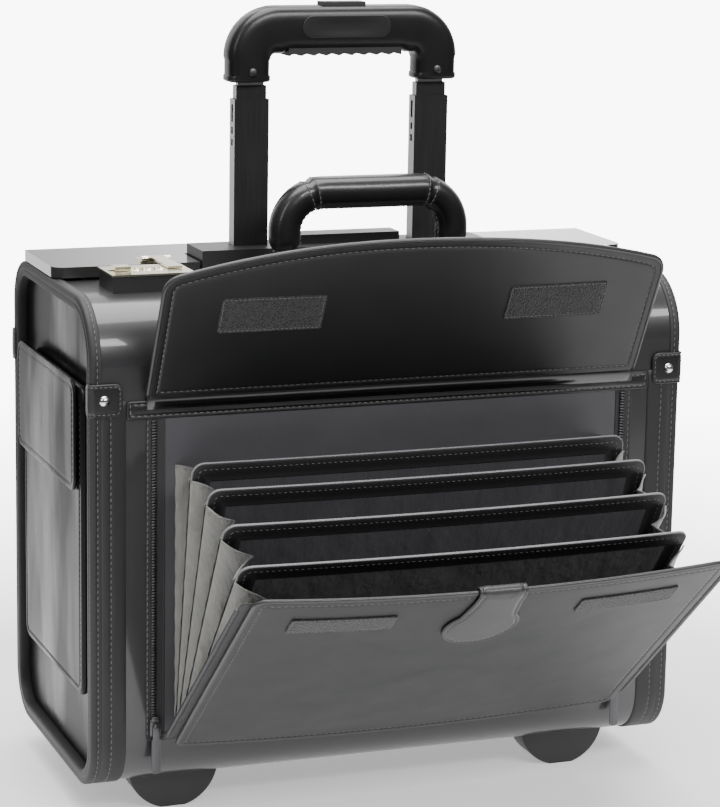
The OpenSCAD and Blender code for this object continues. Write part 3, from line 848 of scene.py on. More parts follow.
# %% Corner tabs
def corner_fold(end, back):
    """Where the flat tab lies: u from the fold line inwards on the wrap, negative on the end face."""
    radius = 2.4

    def place(u, v, w):
        face = DEPTH + 1.9 if back else -1.9
        into = -1 if back else 1
        x, y = 0.0, 0.0
        if u > radius:
            x, y, nx, ny = u, 0.0, 0.0, -1.0
        elif u > -radius * 0.57:
            a = (radius - u) / (radius * 1.57) * math.pi / 2
            x, y = radius - radius * math.sin(a), radius - radius * math.cos(a)
            nx, ny = -math.sin(a), -math.cos(a)
        else:
            x, y, nx, ny = 0.0, radius - (u + radius * 0.57), -1.0, 0.0
        x, y = x + nx * w, y + ny * w
        return mm(end * (HALF + 0.6 - x), face + into * y, TAB_Z + v)

    return place


tab_line = round_rect(-8.5, -12, 24, 12, 5.5, 1.6)
tab_parts, tab_threads = [], []
for end in (-1, 1):
    for back in (False, True):
        place = corner_fold(end, back)
        tab_parts.append(leaf_shape(tab_line, place, 1.7, 2.1, 0.3, 0.15, rows=6,
                                    seam=(0.0, 0.2, 0.6, 1.1, 1.6, 2.1, 2.6, 3.2, 4.0)))
        spots, outs = seam_line(tab_line, place, 2.1, 0.62)
        tab_threads.append(sew(spots, outs, 3.6, 2.7, 0.34, closed=True))
piece("folded_tabs", together(tab_parts), "case", trim_leather, ["corner_tabs"])
piece("tab_thread", together(tab_threads), "case", thread)
print("four corner tabs of", len(tab_line), "outline points")

# %% [markdown]
# The organizer opens like a fan. The record gives each sheet's hinge point and how far
# each hinge turns, so the open place of sheet i is its hinge point and i times that angle.
# `sheet_place` puts a point drawn on the upright sheet into that open place.

# %% Where the sheets stand
FAN = math.radians(abs(joints["pocket_1"]["range_deg"][0]))
PANEL_TOP = 240.0
DIVIDER_TOP = 208.0
PANEL_HALF = (drawn("organizer_panel")[1].x - drawn("organizer_panel")[0].x) / 2
DIVIDER_HALF = (drawn("divider_1")[1].x - drawn("divider_1")[0].x) / 2


def sheet_place(i, bow=lambda x, v: 0.0):
    """u across, v up the sheet, w out of its front; bow moves the sheet out of its plane."""
    hinge = Vector(joints[f"pocket_{i}"]["pos_m"])
    hinge.x = zero.x
    lean = i * FAN
    up = Vector((0, -math.sin(lean), math.cos(lean)))
    out = Vector((0, -math.cos(lean), -math.sin(lean)))

    def place(u, v, w):
        return hinge + (Vector((u, 0, 0)) + up * v + out * (w + bow(u, v))) * MM

    return place


print("fan angle per sheet:", round(math.degrees(FAN), 2), "degrees")

# %% [markdown]
# A divider is a board in dark lining with a leather edge folded over three of its sides.
# The edging is a U-shaped strip that rides over the board's rim, with a seam through it
# and a lighter grey cut edge outside. Boards that carry papers take a set: all four bow forward
# by about the same, so that they nest when the organizer shuts.


# %% Dividers
def bowed(depth, half, top):
    """A gentle set: most in the middle of the free edge, none at the hinge."""
    def bow(u, v):
        across = 1 - min(1.0, (u / half) ** 2)
        high = max(0.0, min(1.0, v / top))
        return depth * across * high ** 1.6
    return bow


EDGING = [(-13.0, 0.95), (-12.4, 1.10), (-7.0, 1.15), (-0.6, 1.1), (0.3, 0.9), (0.6, 0.0), (0.3, -0.9),
          (-0.6, -1.1), (-7.0, -1.15), (-12.4, -1.10), (-13.0, -0.95), (-12.4, -0.6), (-12.4, 0.6)]
CUT_EDGE = [(0.3, 1.05), (1.0, 0.8), (1.2, 0.0), (1.0, -0.8), (0.3, -1.05)]
SETS = {1: 2.3, 2: 2.4, 3: 2.5, 4: 2.55}


def along_edge(line, normals, order, place, section):
    """Rings of a section that runs along the edge of a sheet."""
    return [[place(line[k].x + normals[k].x * a, line[k].y + normals[k].y * a, h) for a, h in section]
            for k in order]


for i, depth in SETS.items():
    top = DIVIDER_TOP + (3 if i == 4 else 0)
    place = sheet_place(i, bowed(depth, DIVIDER_HALF, top))
    line = cut([(-DIVIDER_HALF, 1.8), (DIVIDER_HALF, 1.8), (DIVIDER_HALF, top), (-DIVIDER_HALF, top)],
               [6, 6, 8, 8], 4.0)
    board = leaf_shape(line, place, 1.6, 3.7, 0.0, 0.1)
    piece(f"board_{i}", board, f"sheet_{i}", board_cloth, [f"divider_{i}"])
    normals = outward(line)
    count = len(line)
    low = [k for k in range(count) if line[k].y < 9]
    first = next(k for k in range(count) if line[k].y >= 9 and line[k - 1].y < 9)
    order = [(first + k) % count for k in range(count - len(low))]
    rings = along_edge(line, normals, order, place, EDGING)
    piece(f"edging_{i}", skin(rings, caps=True), f"sheet_{i}", binding_leather)
    rings = along_edge(line, normals, order, place, CUT_EDGE)
    piece(f"cut_edge_{i}", skin(rings, caps=True), f"sheet_{i}", grey_edge)
    threads = []
    for face in (1, -1):
        spots = [ring[0] for ring in along_edge(line, normals, order, place, [(-4.2, face * 1.15)])]
        outs = [(place(*line[k], face) - place(*line[k], 0)).normalized() for k in order]
        threads.append(sew(spots, outs, 4.2, 3.1, 0.28))
    piece(f"edging_thread_{i}", together(threads), f"sheet_{i}", thread)
print("dividers:", len(SETS), "boards,", round(2 * DIVIDER_HALF), "wide")

# %% [markdown]
# Between two sheets, at each side, is a gusset of thin coated cloth. Cut as a wedge, it
# folds inward along its middle, deeper where the sheets stand further apart, and creases
# where it is sewn.


# %% Gussets
def wedge_edges(i):
    """Places on the sheet behind and the sheet in front, for a height v and no bow."""
    if i == 1:
        seam_z = Vector(joints["pocket_1"]["pos_m"])
        seam_z.x, seam_z.y = zero.x, zero.y - 1.0 * MM
        return (lambda u, v: seam_z + Vector((u, 0, v)) * MM), sheet_place(1)
    return sheet_place(i - 1), sheet_place(i)


def gusset(i, end):
    behind, before = wedge_edges(i)
    chance = random.Random(10 * i + end)
    tones = [(chance.uniform(0.03, 0.09), chance.uniform(0, 6.3), chance.uniform(0.4, 1.2)) for _ in range(4)]
    columns, rows = 14, 44
    high = DIVIDER_TOP - 12
    points = []
    for r in range(rows + 1):
        v = 7 + (high - 7) * r / rows
        a = behind(0, v) if i == 1 else behind(0, v, 1.5)
        b = before(0, v, -1.5 if i < 5 else -2.8)
        gap = (b - a).length / MM
        for c in range(columns + 1):
            t = c / columns
            fold = 1 - abs(2 * t - 1)
            soft = fold - 0.10 * math.sin(math.pi * fold) * (0.5 + 0.5 * math.cos(v / 23 + i))
            crease = sum(size * math.sin(rate * 0.1 * v + phase + 5 * t) for size, phase, rate in tones)
            depth = gap * (0.50 * soft + crease * fold) + 0.25 * math.sin(v * 0.35 + i + end) * (1 - fold)
            spot = a.lerp(b, t) + Vector((end * (DIVIDER_HALF + 1.6 - depth), 0, 0)) * MM
            spot.z += 1.2 * math.sin(6.3 * t + i) * fold * (r / rows) * MM
            points.append(spot)
    n = columns + 1
    faces = [(r * n + c, r * n + c + 1, (r + 1) * n + c + 1, (r + 1) * n + c)
             for r in range(rows) for c in range(columns)]
    if end < 0:
        faces = [tuple(reversed(face)) for face in faces]
    return points, faces, columns, rows


def measure(points, columns, rows):
    """Widest way across, length and area of a grid, in metres."""
    n = columns + 1
    across = [sum((points[r * n + c + 1] - points[r * n + c]).length for c in range(columns))
              for r in range(rows + 1)]
    middle = columns // 2
    long = sum((points[(r + 1) * n + middle] - points[r * n + middle]).length for r in range(rows))
    area = sum((across[r] + across[r + 1]) / 2 for r in range(rows)) * long / rows
    return max(across), long, area


for i in range(1, 6):
    for end, side in ((-1, "left"), (1, "right")):
        points, faces, columns, rows = gusset(i, end)
        made = piece(f"gusset_{i}_{side}", (points, faces), None, gusset_cloth,
                     [f"pleats_{i}"], closed=False)
        wide, long, area = measure(points, columns, rows)
        behind, before = wedge_edges(i)
        near = behind(0, 60) if i == 1 else behind(0, 60, 0)
        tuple(before(0, 60, 0))
        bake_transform(made)
        top_row = points[-(columns + 1):]
        sides = [Vector((0, 0, 1))] * len(top_row)
        outs = [Vector((end, 0, 0))] * len(top_row)
        hem_piece = piece(f"gusset_hem_{i}_{side}", strip(top_row, sides, outs, circle(0.8, 8)), None,
                          gusset_cloth)
        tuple(before(0, 60, 0))
        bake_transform(hem_piece)
print("gussets: ten wedges, the last is", round(wide * 1000), "mm across at its top")

# %% [markdown]
# The organizer's front is the largest soft part: a padded leather panel that carries the
# whole fan. It bows outward along its top, and its lower edge hangs in a shallow curve
# below the hinge. It is padded with foam, so it is filled by a short cloth simulation:
# the sewn border is pinned, the middle is blown up a little, and the result is kept.

# %% Filling by simulation
def puff(made, pinned, pressure, cap, frames=20):
    """Blows up a closed piece except where pinned(co) is true; no point moves further than cap."""
    rest = [v.co.copy() for v in made.data.vertices]
    held = made.vertex_groups.new(name="held")
    held.add([v.index for v in made.data.vertices if pinned(v.co)], 1.0, "REPLACE")
    filling = made.modifiers.new("filling", "CLOTH")
    filling.settings.quality = 6
    filling.settings.mass = 0.3
    filling.settings.tension_stiffness = 40
    filling.settings.compression_stiffness = 40
    filling.settings.bending_stiffness = 3.0
    filling.settings.use_pressure = True
    filling.settings.uniform_pressure_force = pressure
    filling.settings.vertex_group_mass = "held"
    filling.settings.effector_weights.gravity = 0
    filling.collision_settings.use_collision = False
    filling.point_cache.frame_start, filling.point_cache.frame_end = 1, frames
    for n in range(1, frames + 1):
        bpy.context.scene.frame_set(n)
    solved = made.evaluated_get(bpy.context.evaluated_depsgraph_get())
    moved = [v.co.copy() for v in solved.data.vertices]
    made.modifiers.remove(filling)
    made.vertex_groups.remove(held)
    bpy.context.scene.frame_set(1)
    most = 0.0
    for v, a, b in zip(made.data.vertices, rest, moved):
        step = b - a
        if step.length > cap * MM:
            step = step.normalized() * cap * MM
        most = max(most, step.length)
        v.co = a + step
    made.data.update()
    return most / MM


# %% The padded front panel
def panel_bow(u, v):
    across = 1 - min(1.0, (u / PANEL_HALF) ** 2)
    high = max(0.0, min(1.0, v / PANEL_TOP))
    return 7.5 * across * high ** 1.5 + 2.2 * across * math.sin(math.pi * high)


panel_place = sheet_place(5, panel_bow)
across_hem = [k * PANEL_HALF / 8 for k in range(-7, 8)]
hem = [(x, 1.8 - 13 * (1 - (x / PANEL_HALF) ** 2)) for x in across_hem]
corners = [(-PANEL_HALF, 1.8), *hem, (PANEL_HALF, 1.8), (PANEL_HALF, PANEL_TOP), (-PANEL_HALF, PANEL_TOP)]
panel_line = cut(corners, [6] + [0] * len(hem) + [6, 9, 9], 4.0)
panel_front = piece("panel_front", leaf_shape(panel_line, panel_place, 3.6, 5.2, 0.55, 0.7, back=0.2, rows=22,
                                              seam=SEAM + (9.0, 11.0)),
                    "panel", satin_leather, ["organizer_panel"])
border = [panel_place(p.x, p.y, 0) for p in inward(panel_line, 8.0)]


def near_border(co):
    return min((co - b).length for b in border) < 9 * MM


filled = puff(panel_front, near_border, 1.2, 3.0)
threads = []
for lift in (1.35, -1.35):
    spots, outs = seam_line(panel_line, panel_place, 5.2, lift)
    if lift < 0:
        outs = [-o for o in outs]
    threads.append(sew(spots, outs, 4.6, 3.4, 0.42, closed=True))
piece("panel_thread", together(threads), "panel", thread)
print(f"panel filled by up to {filled:.1f} mm, {len(panel_line)} points round it")

# %% [markdown]
# A piping runs round the panel's edge: a cord wrapped in a narrow strip of leather. It is
# what catches the light along the border. The same bead edges the lifted flap.


# %% Piping
def piping(name, line, place, r, body, keep=lambda p: True, replaces=()):
    normals = outward(line)
    kept = [k for k in range(len(line)) if keep(line[k])]
    first = next((k for k in kept if not keep(line[k - 1])), kept[0])
    order = [(first + k) % len(line) for k in range(len(kept))]
    rings = [[place(line[k].x + normals[k].x * a, line[k].y + normals[k].y * a, h) for a, h in circle(r, 10)]
             for k in order]
    whole = len(kept) == len(line)
    return piece(name, skin(rings, along=whole, caps=not whole), body, handle_leather, replaces)


piping("panel_piping", panel_line, panel_place, 1.6, "panel")
TAPE_SEAM = (0, 0.3, 0.6, 1.0, 1.5, 2.0, 2.5)
TOOTH_PITCH = 2.1
TOOTH = ((-1.5, 0), (1.5, 0), (1.5, 1.2), (-1.5, 1.2))
side_tapes, side_teeth = [], []


def behind_panel(u, v, w):
    return panel_place(u, v, w - 2.6)


for end in (-1, 1):
    x = end * (PANEL_HALF + 3.4)
    tape_line = round_rect(x - 5.0, 8, x + 5.0, PANEL_TOP - 8, 3, 4)
    side_tapes.append(leaf_shape(tape_line, behind_panel, 1.1, 2.0, 0.1, 0.0, rows=3, seam=TAPE_SEAM))
    heart = end * (PANEL_HALF + 8.6)
    for k in range(100):
        v = 14 + TOOTH_PITCH * k
        ends = [[behind_panel(heart + a, v + b, h) for a, b in TOOTH] for h in (-0.9, 0.9)]
        side_teeth.append(skin(ends, caps=True))
piece("panel_tapes", together(side_tapes), "panel", tape_cloth)
piece("panel_teeth", together(side_teeth), "panel", gun_metal)

# %% [markdown]
# Two strips of hook fastener and a round pull tab are sewn to the panel. The tab is one
# leaf: its lower end is a disc, and above the panel's top edge it folds over to the back.

# %% Strips on the panel
hook_parts, hook_threads = [], []
for end in (-1, 1):
    strip_line = round_rect(end * 105 - 37.5, PANEL_TOP - 43.5, end * 105 + 37.5, PANEL_TOP - 23.5, 2.2, 2.0)

    def on_panel(u, v, w):
        return panel_place(u, v, w + 3.0)

    hook_parts.append(leaf_shape(strip_line, on_panel, 1.4, 1.5, 0.25, 0.1, rows=8,
                                 seam=(0, 0.2, 0.5, 0.8, 1.1, 1.5, 1.9, 2.1)))
    spots, outs = seam_line(strip_line, on_panel, 1.5, 0.6)
    hook_threads.append(sew(spots, outs, 3.2, 2.4, 0.3, closed=True))
piece("hook_tapes", together(hook_parts), "panel", hook_cloth, ["hook_strips"])
piece("hook_thread", together(hook_threads), "panel", thread)


# %% The pull tab
TAB_R = 27.5
tab_middle = PANEL_TOP - 50
tab_corners = [(TAB_R * math.sin(a), tab_middle - TAB_R * math.cos(a))
               for a in (math.radians(6.5 * k) for k in range(-20, 21))]
tab_corners += [(18, PANEL_TOP - 12), (17.5, PANEL_TOP + 6), (17.5, PANEL_TOP + 22), (-17.5, PANEL_TOP + 22),
                (-17.5, PANEL_TOP + 6), (-18, PANEL_TOP - 12)]
pull_line = cut(tab_corners, [0] * 41 + [12, 30, 5, 5, 30, 12], 2.2)
FOLD = 3.4


def over_the_edge(u, v, w):
    """Down the front, over the panel's top edge and down its back."""
    turn = FOLD * math.pi
    if v <= PANEL_TOP:
        return panel_place(u, v, w + FOLD + 0.2)
    if v < PANEL_TOP + turn:
        a = (v - PANEL_TOP) / FOLD
        return panel_place(u, PANEL_TOP + math.sin(a) * (FOLD + w), math.cos(a) * (FOLD + w) + 0.2)
    return panel_place(u, PANEL_TOP - (v - PANEL_TOP - turn), -(FOLD + w) + 0.2)


pull_tab = piece("pull_leaf", leaf_shape(pull_line, over_the_edge, 2.2, 3.0, 0.45, 0.5, back=0.0, rows=12,
                                         seam=(0, 0.25, 0.7, 1.2, 1.8, 2.4, 3.0, 3.6, 4.4, 5.6)),
                 "panel", trim_leather, ["pull_tab"])
spots, outs = seam_line(pull_line, over_the_edge, 3.0, 0.75)
piece("pull_thread", sew(spots, outs, 3.8, 2.8, 0.36, closed=True), "panel", thread)
print("pull tab:", len(pull_line), "points round it")

# %% [markdown]
# The flap is lifted, so its inner side faces out: satin lining leather with a piped and
# stitched edge, two loop patches that meet the hook strips, and a soft fold where it
# leaves the box. Its upper edge is an arch between two rounded corners.

# %% The lifted flap
flap_lo, flap_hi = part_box("organizer_flap")
flap_hinge = Vector(joints["flap_hinge"]["pos_m"])
FLAP_LEAN = math.atan2(flap_hinge.y - flap_lo.y, flap_hi.z - flap_hinge.z) - 0.010
FLAP_HALF = (flap_hi.x - flap_lo.x) / 2 / MM
FLAP_TOP = 133.0
ARCH = 620.0


def arch(x):
    return FLAP_TOP - x * x / (2 * ARCH)


def flap_place(u, v, w):
    """w grows towards the front, which is the flap's inner side while it is lifted."""
    up = Vector((0, -math.sin(FLAP_LEAN), math.cos(FLAP_LEAN)))
    out = Vector((0, -math.cos(FLAP_LEAN), -math.sin(FLAP_LEAN)))
    high = max(0.0, v / FLAP_TOP)
    sway = 2.4 * high ** 2 * math.cos(u / FLAP_HALF * 1.9) + 1.5 * high ** 3 * math.sin(u / 61 + 0.6)
    return Vector((zero.x, flap_hinge.y, flap_hinge.z)) + (Vector((u, 0, 0)) + up * v + out * (w + sway)) * MM


arch_corners = [(x, arch(x)) for x in (k * 15.0 for k in range(11, -12, -1))]
flap_corners = [(-FLAP_HALF, 1.2), (FLAP_HALF, 1.2), (FLAP_HALF, arch(FLAP_HALF)), *arch_corners,
                (-FLAP_HALF, arch(FLAP_HALF))]
flap_line = cut(flap_corners, [5, 5, 14] + [0] * len(arch_corners) + [14], 4.0)
flap_seam = (0, 0.3, 0.8, 1.5, 2.4, 3.4, 4.4, 5.0, 5.5, 6.0, 6.5, 7.0, 8.0)
flap_shape = leaf_shape(flap_line, flap_place, 2.7, 6.0, 0.5, 0.35, rows=22, seam=flap_seam)
flap_leaf = piece("flap_leaf", flap_shape, "flap", satin_leather, ["organizer_flap"])
piping("flap_piping", flap_line, flap_place, 1.8, "flap", keep=lambda p: p.y > 3)
threads = []
for lift in (1.0, -1.0):
    spots, outs = seam_line(flap_line, flap_place, 6.0, lift, part=lambda p: p.y > 7)
    if lift < 0:
        outs = [-o for o in outs]
    first = max(range(len(spots)), key=lambda k: (spots[k] - spots[k - 1]).length)
    spots, outs = spots[first:] + spots[:first], outs[first:] + outs[:first]
    threads.append(sew(spots, outs))
patches, patch_threads = [], []
for end in (-1, 1):
    patch_line = round_rect(end * 108.5 - 38.5, 58.5, end * 108.5 + 38.5, 88.5, 2.4, 2.0)

    def on_flap(u, v, w):
        return flap_place(u, v, w + 1.9)

    patches.append(leaf_shape(patch_line, on_flap, 1.4, 1.6, 0.25, 0.15, rows=8,
                              seam=(0, 0.2, 0.5, 0.8, 1.2, 1.6, 2.0, 2.3)))
    spots, outs = seam_line(patch_line, on_flap, 1.6, 0.6)
    patch_threads.append(sew(spots, outs, 3.2, 2.4, 0.3, closed=True))
piece("loop_patches", together(patches), "flap", hook_cloth)
piece("flap_thread", together(threads + patch_threads), "flap", thread)
print("flap leans", round(math.degrees(FLAP_LEAN), 1), "degrees and is", FLAP_TOP, "high")

# %% [markdown]
# The front wall of the box is lined where the fan covers it. A leather strip is sewn along
# its top, below the flap's fold, and a woven zip tape runs up each side, with metal teeth
# along its edge. When the pocket shuts, the two sliders draw it closed.

# %% Front wall, seam strip and fold
SEAM_Z = (joints["pocket_1"]["pos_m"][2] - zero.z) / MM
FLAP_Z = (flap_hinge.z - zero.z) / MM
ZIP_X = (drawn("zip_slider_right")[0].x + drawn("zip_slider_right")[1].x) / 2


def on_wall(u, v, w):
    return mm(u, -0.35 - w, v)


wall_line = round_rect(-ZIP_X + 5, SEAM_Z - 6, ZIP_X - 5, FLAP_Z - 7, 6, 5)
piece("wall_lining", leaf_shape(wall_line, on_wall, 0.9, 4.0, 0.0, 0.1, rows=10), "case",
      wall_cloth)
edge_x = HALF - 26.4
band_line = round_rect(-edge_x, FLAP_Z - 14, edge_x, FLAP_Z - 0.5, 3, 4.0)


def on_band(u, v, w):
    return mm(u, -1.1 - w, v)


band_seam = (0, 0.3, 0.7, 1.2, 1.7, 2.2, 2.6, 3.0, 3.5, 4.2)
piece("seam_band", leaf_shape(band_line, on_band, 1.7, 2.6, 0.4, 0.35, rows=8, seam=band_seam), "case",
      trim_leather)
spots, outs = seam_line(band_line, on_band, 2.6, 0.6)
fold_x = [k * FLAP_HALF / 30 for k in range(-30, 31)]
FOLD_SECTION = [(-8.2, 0.4), (-7.8, 1.5), (-6.4, 2.6), (-4.2, 3.6), (-1.6, 4.3), (1.0, 4.6), (3.4, 4.2),
                (4.9, 3.0), (5.6, 1.2), (5.2, 0.2)]
rings = [[mm(x, -h - 0.2, FLAP_Z + a) for a, h in FOLD_SECTION] for x in fold_x]
piece("flap_fold", skin(rings, caps=True), "case", gloss_leather)
piece("band_thread", sew(spots, outs, closed=True), "case", thread)

# %% Zips
tapes, teeth, tape_threads = [], [], []
for end in (-1, 1):
    line = round_rect(end * ZIP_X - 6, SEAM_Z - 8, end * ZIP_X + 8, FLAP_Z - 12, 2.5, 5)

    def on_tape(u, v, w):
        return mm(u, -0.75 - w, v)

    tapes.append(leaf_shape(line, on_tape, 1.2, 2.0, 0.15, 0.0, rows=3, seam=TAPE_SEAM))
    count = int((FLAP_Z - 16 - SEAM_Z) / TOOTH_PITCH)
    for k in range(count):
        z = SEAM_Z + 2 + k * TOOTH_PITCH
        teeth.append(block((end * ZIP_X - 2.6, -2.7, z), (end * ZIP_X + 1.4, -1.0, z + 1.25), 0.3, 1))
    seam_x = end * (ZIP_X + 5.2)
    spots = [mm(seam_x, -1.45, SEAM_Z - 4 + k * 5) for k in range(48)]
    tape_threads.append(sew(spots, [Vector((0, -1, 0))] * len(spots)))
HEM_SECTION = ((-4, 0), (-3.6, 1.0), (-1.5, 1.5), (1.0, 1.5), (3.2, 1.1), (3.6, 0))
hem_rings = [[mm(k * 9.0, -0.2 - h, SEAM_Z - 5 + a) for a, h in HEM_SECTION] for k in range(-20, 21)]
piece("zip_tapes", together(tapes), "case", tape_cloth, ["pocket_trim"])
piece("hinge_tape", skin(hem_rings, caps=True), "case", trim_leather)
piece("zip_teeth", together(teeth), "case", gun_metal)
piece("tape_thread", together(tape_threads), "case", thread)
for end, side, body in ((-1, "left", "zip_l"), (1, "right", "zip_r")):
    x = end * ZIP_X
    parts = [block((x - 4.2, -5.0, SEAM_Z - 4), (x + 4.2, -1.7, SEAM_Z + 9), 1.3),
             block((x - 3.0, -5.2, SEAM_Z + 7), (x + 3.0, -1.9, SEAM_Z + 11), 1.2),
             block((x - 1.6, -7.0, SEAM_Z - 1), (x + 1.6, -4.6, SEAM_Z + 6), 0.8),
             block((x - 2.6, -7.2, SEAM_Z - 7), (x + 2.6, -5.9, SEAM_Z + 4), 0.6)]
    piece(f"slider_{side}", together(parts), body, gun_metal, [f"zip_slider_{side}"])
    pull = round_rect(x - 3.6, SEAM_Z - 32, x + 3.6, SEAM_Z - 4, 2.6, 1.2)

    def hanging(u, v, w):
        return mm(u, -6.5 - w, v)

    pull_shape = leaf_shape(pull, hanging, 1.5, 1.2, 0.2, 0.2, rows=4, seam=(0, 0.2, 0.4, 0.7, 1.0, 1.3, 1.7))
    piece(f"slider_pull_{side}", pull_shape, body, gun_metal)
print("zip teeth:", len(teeth))

# %% [markdown]
# On the left end, within the rim, lies a flat pocket with its own flap. An empty pocket is
# two leathers lying on each other, so it is drawn as one broad stuffed leaf. The flap is
# cut larger, hinges along its top edge and stands a little proud.

# %% Side pocket
pocket_lo, pocket_hi = drawn("side_pocket")
shut_lo, shut_hi = drawn("side_flap")


def on_end(depth):
    """Outward is -X on the left end; u runs from the front to the back."""
    def place(u, v, w):
        return mm(depth - w, u, v)
    return place


pocket_line = round_rect(pocket_lo.y, pocket_lo.z, pocket_hi.y, pocket_hi.z, 12, 4)
pocket_place = on_end(-HALF + 3.6)
pocket = piece("pocket_pad", leaf_shape(pocket_line, pocket_place, 6.6, 6.5, 0.7, 0.6, back=0.0, rows=18,
                                        seam=(0, 0.4, 1.0, 1.9, 3.0, 4.2, 5.2, 5.9, 6.5, 7.1, 7.8, 9.0)),
               "case", polished, ["side_pocket"])
shut_line = round_rect(shut_lo.y, shut_lo.z, shut_hi.y, shut_hi.z, 11, 4)
shut_place = on_end((shut_lo.x + shut_hi.x) / 2)
shut = piece("pocket_cover", leaf_shape(shut_line, shut_place, 2.7, 5.0, 0.5, 0.7, back=0.0, rows=18,
                                        seam=(0, 0.3, 0.8, 1.5, 2.4, 3.3, 4.0, 4.5, 5.0, 5.5, 6.0, 7.0)),
             "pocket_flap", polished, ["side_flap"])
left = Vector((-1, 0, 0))
spots, outs = seam_line(pocket_line, pocket_place, 6.5, 2.75)
piece("pocket_thread", sew(spots, [left] * len(spots), closed=True), "case", thread)
spots, outs = seam_line(shut_line, shut_place, 5.0, 1.0)
piece("cover_thread", sew(spots, [left] * len(spots), closed=True), "pocket_flap", thread)
print("side pocket", round(pocket_hi.y - pocket_lo.y), "by", round(pocket_hi.z - pocket_lo.z))

# %% [markdown]
# The lid is a board covered in the same glossy leather. Its solid already has the right
# plan, with the notch round the trolley, so it gets a generous rolled edge, and a line of
# stitches round its border.

# %% The lid
dress("lid_panel", lid_leather, 2.4, 5, 30)
lid_lo, lid_hi = drawn("lid_panel")
notch = drawn("bezel")[1].x + 2
LID_TOP = lid_lo.z + 8
lid_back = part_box("lid_hinge")[0].y
back_edge = (lid_back - zero.y) / MM - 3.5
notch_y = drawn("bezel")[1].y + 1.5
lid_corners = [(lid_lo.x, lid_lo.y), (-notch, lid_lo.y), (-notch, notch_y), (notch, notch_y),
               (notch, lid_lo.y), (lid_hi.x, lid_lo.y), (lid_hi.x, back_edge), (lid_lo.x, back_edge)]
lid_line = cut(lid_corners, [9, 3, 3, 3, 3, 9, 3, 3], 4.0)
sewn = inward(lid_line, 6.5)
spots = [mm(p.x, p.y, LID_TOP + 0.12) for p in sewn]
piece("lid_thread", sew(spots, [Vector((0, 0, 1))] * len(spots), closed=True), "lid", thread)
print("lid top at", round(LID_TOP), "mm")

# %% [markdown]
# The carry handle is a rope of foam wrapped in leather and sewn underneath, with a second
# wrap round its middle. Its centreline is two posts, two bends and a straight top. The
# section is a rounded square, drawn in where the middle wrap is tied off. A short pressure
# simulation fills it between those ties, which puts life into the bends.

# %% Carry handle
grip_lo, grip_hi = drawn("carry_handle")
POST_X = grip_hi.x - 13
HANDLE_Y = (grip_lo.y + grip_hi.y) / 2
TOP_Z = grip_hi.z - 13
BEND = 28.0
POST_LOW = grip_lo.z + 7 + 11
STRAIGHT = POST_X - BEND
ARC = BEND * math.pi / 2
REACH = STRAIGHT + ARC + (TOP_Z - BEND - POST_LOW)
TIE = 46.0


def handle_station(s):
    """Centre, and the way out of the bend, at s millimetres from the middle."""
    end, run = (1 if s >= 0 else -1), abs(s)
    if run < STRAIGHT:
        return mm(s, HANDLE_Y, TOP_Z), Vector((0, 0, 1))
    if run < STRAIGHT + ARC:
        a = (run - STRAIGHT) / BEND
        out = Vector((end * math.sin(a), 0, math.cos(a)))
        return mm(end * STRAIGHT, HANDLE_Y, TOP_Z - BEND) + out * BEND * MM, out
    drop = run - STRAIGHT - ARC
    return mm(end * POST_X, HANDLE_Y, TOP_Z - BEND - drop), Vector((end, 0, 0))


def handle_scale(s):
    run = abs(s)
    tie = 0.10 * math.exp(-((run - TIE) / 1.3) ** 2)
    wrap = 0.05 if run < TIE else 0.0
    ends = 0.24 * max(0.0, (run - REACH + 9) / 9) ** 2
    return 0.93 + wrap - tie - ends


stations = [k * 2.2 for k in range(-int(REACH / 2.2), int(REACH / 2.2) + 1)]
stations = [-REACH, *stations, REACH]
rings = []
for s in stations:
    heart, out = handle_station(s)
    r = 13 * handle_scale(s)
    ring = []
    for k in range(36):
        a = 2 * math.pi * k / 36
        c, d = math.cos(a), math.sin(a)
        across = math.copysign(abs(c) ** 0.82, c) * r
        high = math.copysign(abs(d) ** 0.82, d) * r * 0.94
        seam_dent = 1 - 0.06 * math.exp(-((a - 1.5 * math.pi) / 0.12) ** 2)
        ring.append(heart + (Vector((0, across, 0)) + out * high * seam_dent) * MM)
    rings.append(ring)
handle_pad = piece("handle_pad", skin(rings, caps=True), "handle", handle_leather,
                   ["carry_handle"])
ties = [handle_station(s)[0] for s in (-REACH, -TIE, TIE, REACH)]


def near_tie(co):
    return any(abs((co - t).length) < 15.5 * MM and abs(abs(co.x - zero.x) - abs(t.x - zero.x)) < 3 * MM
               for t in ties) or co.z < POST_LOW * MM + zero.z + 4 * MM


handle_filled = puff(handle_pad, near_tie, 4.0, 0.9)
threads = []
for s in (-TIE - 3, -TIE + 3, TIE - 3, TIE + 3):
    heart, out = handle_station(s)
    r = 13 * handle_scale(s)
    spots, outs = [], []
    for k in range(32):
        a = 2 * math.pi * k / 32
        c, d = math.cos(a), math.sin(a)
        way = Vector((0, math.copysign(abs(c) ** 0.82, c), 0)) + out * math.copysign(abs(d) ** 0.82, d) * 0.94
        spots.append(heart + way * (r + 0.25) * MM)
        outs.append(way.normalized())
    threads.append(sew(spots, outs, 3.8, 2.9, 0.4, closed=True))
under = [handle_station(s) for s in stations[2:-2]]
for tilt in (-0.24, 0.24):
    ways = [Vector((0, math.sin(tilt), 0)) - out * math.cos(tilt) for heart, out in under]
    spots = [heart + way * 12.1 * MM for (heart, out), way in zip(under, ways)]
    outs = [way.normalized() for way in ways]
    threads.append(sew(spots, outs, 3.8, 2.9, 0.4))
piece("handle_thread", together(threads), "handle", thread)
PIN_Z = (joints["handle_fold"]["pos_m"][2] - zero.z) / MM
shanks = [block((end * POST_X - 8, HANDLE_Y - 6.6, PIN_Z - 6.6),
                (end * POST_X + 8, HANDLE_Y + 6.6, POST_LOW + 3), 4.6, 5) for end in (-1, 1)]
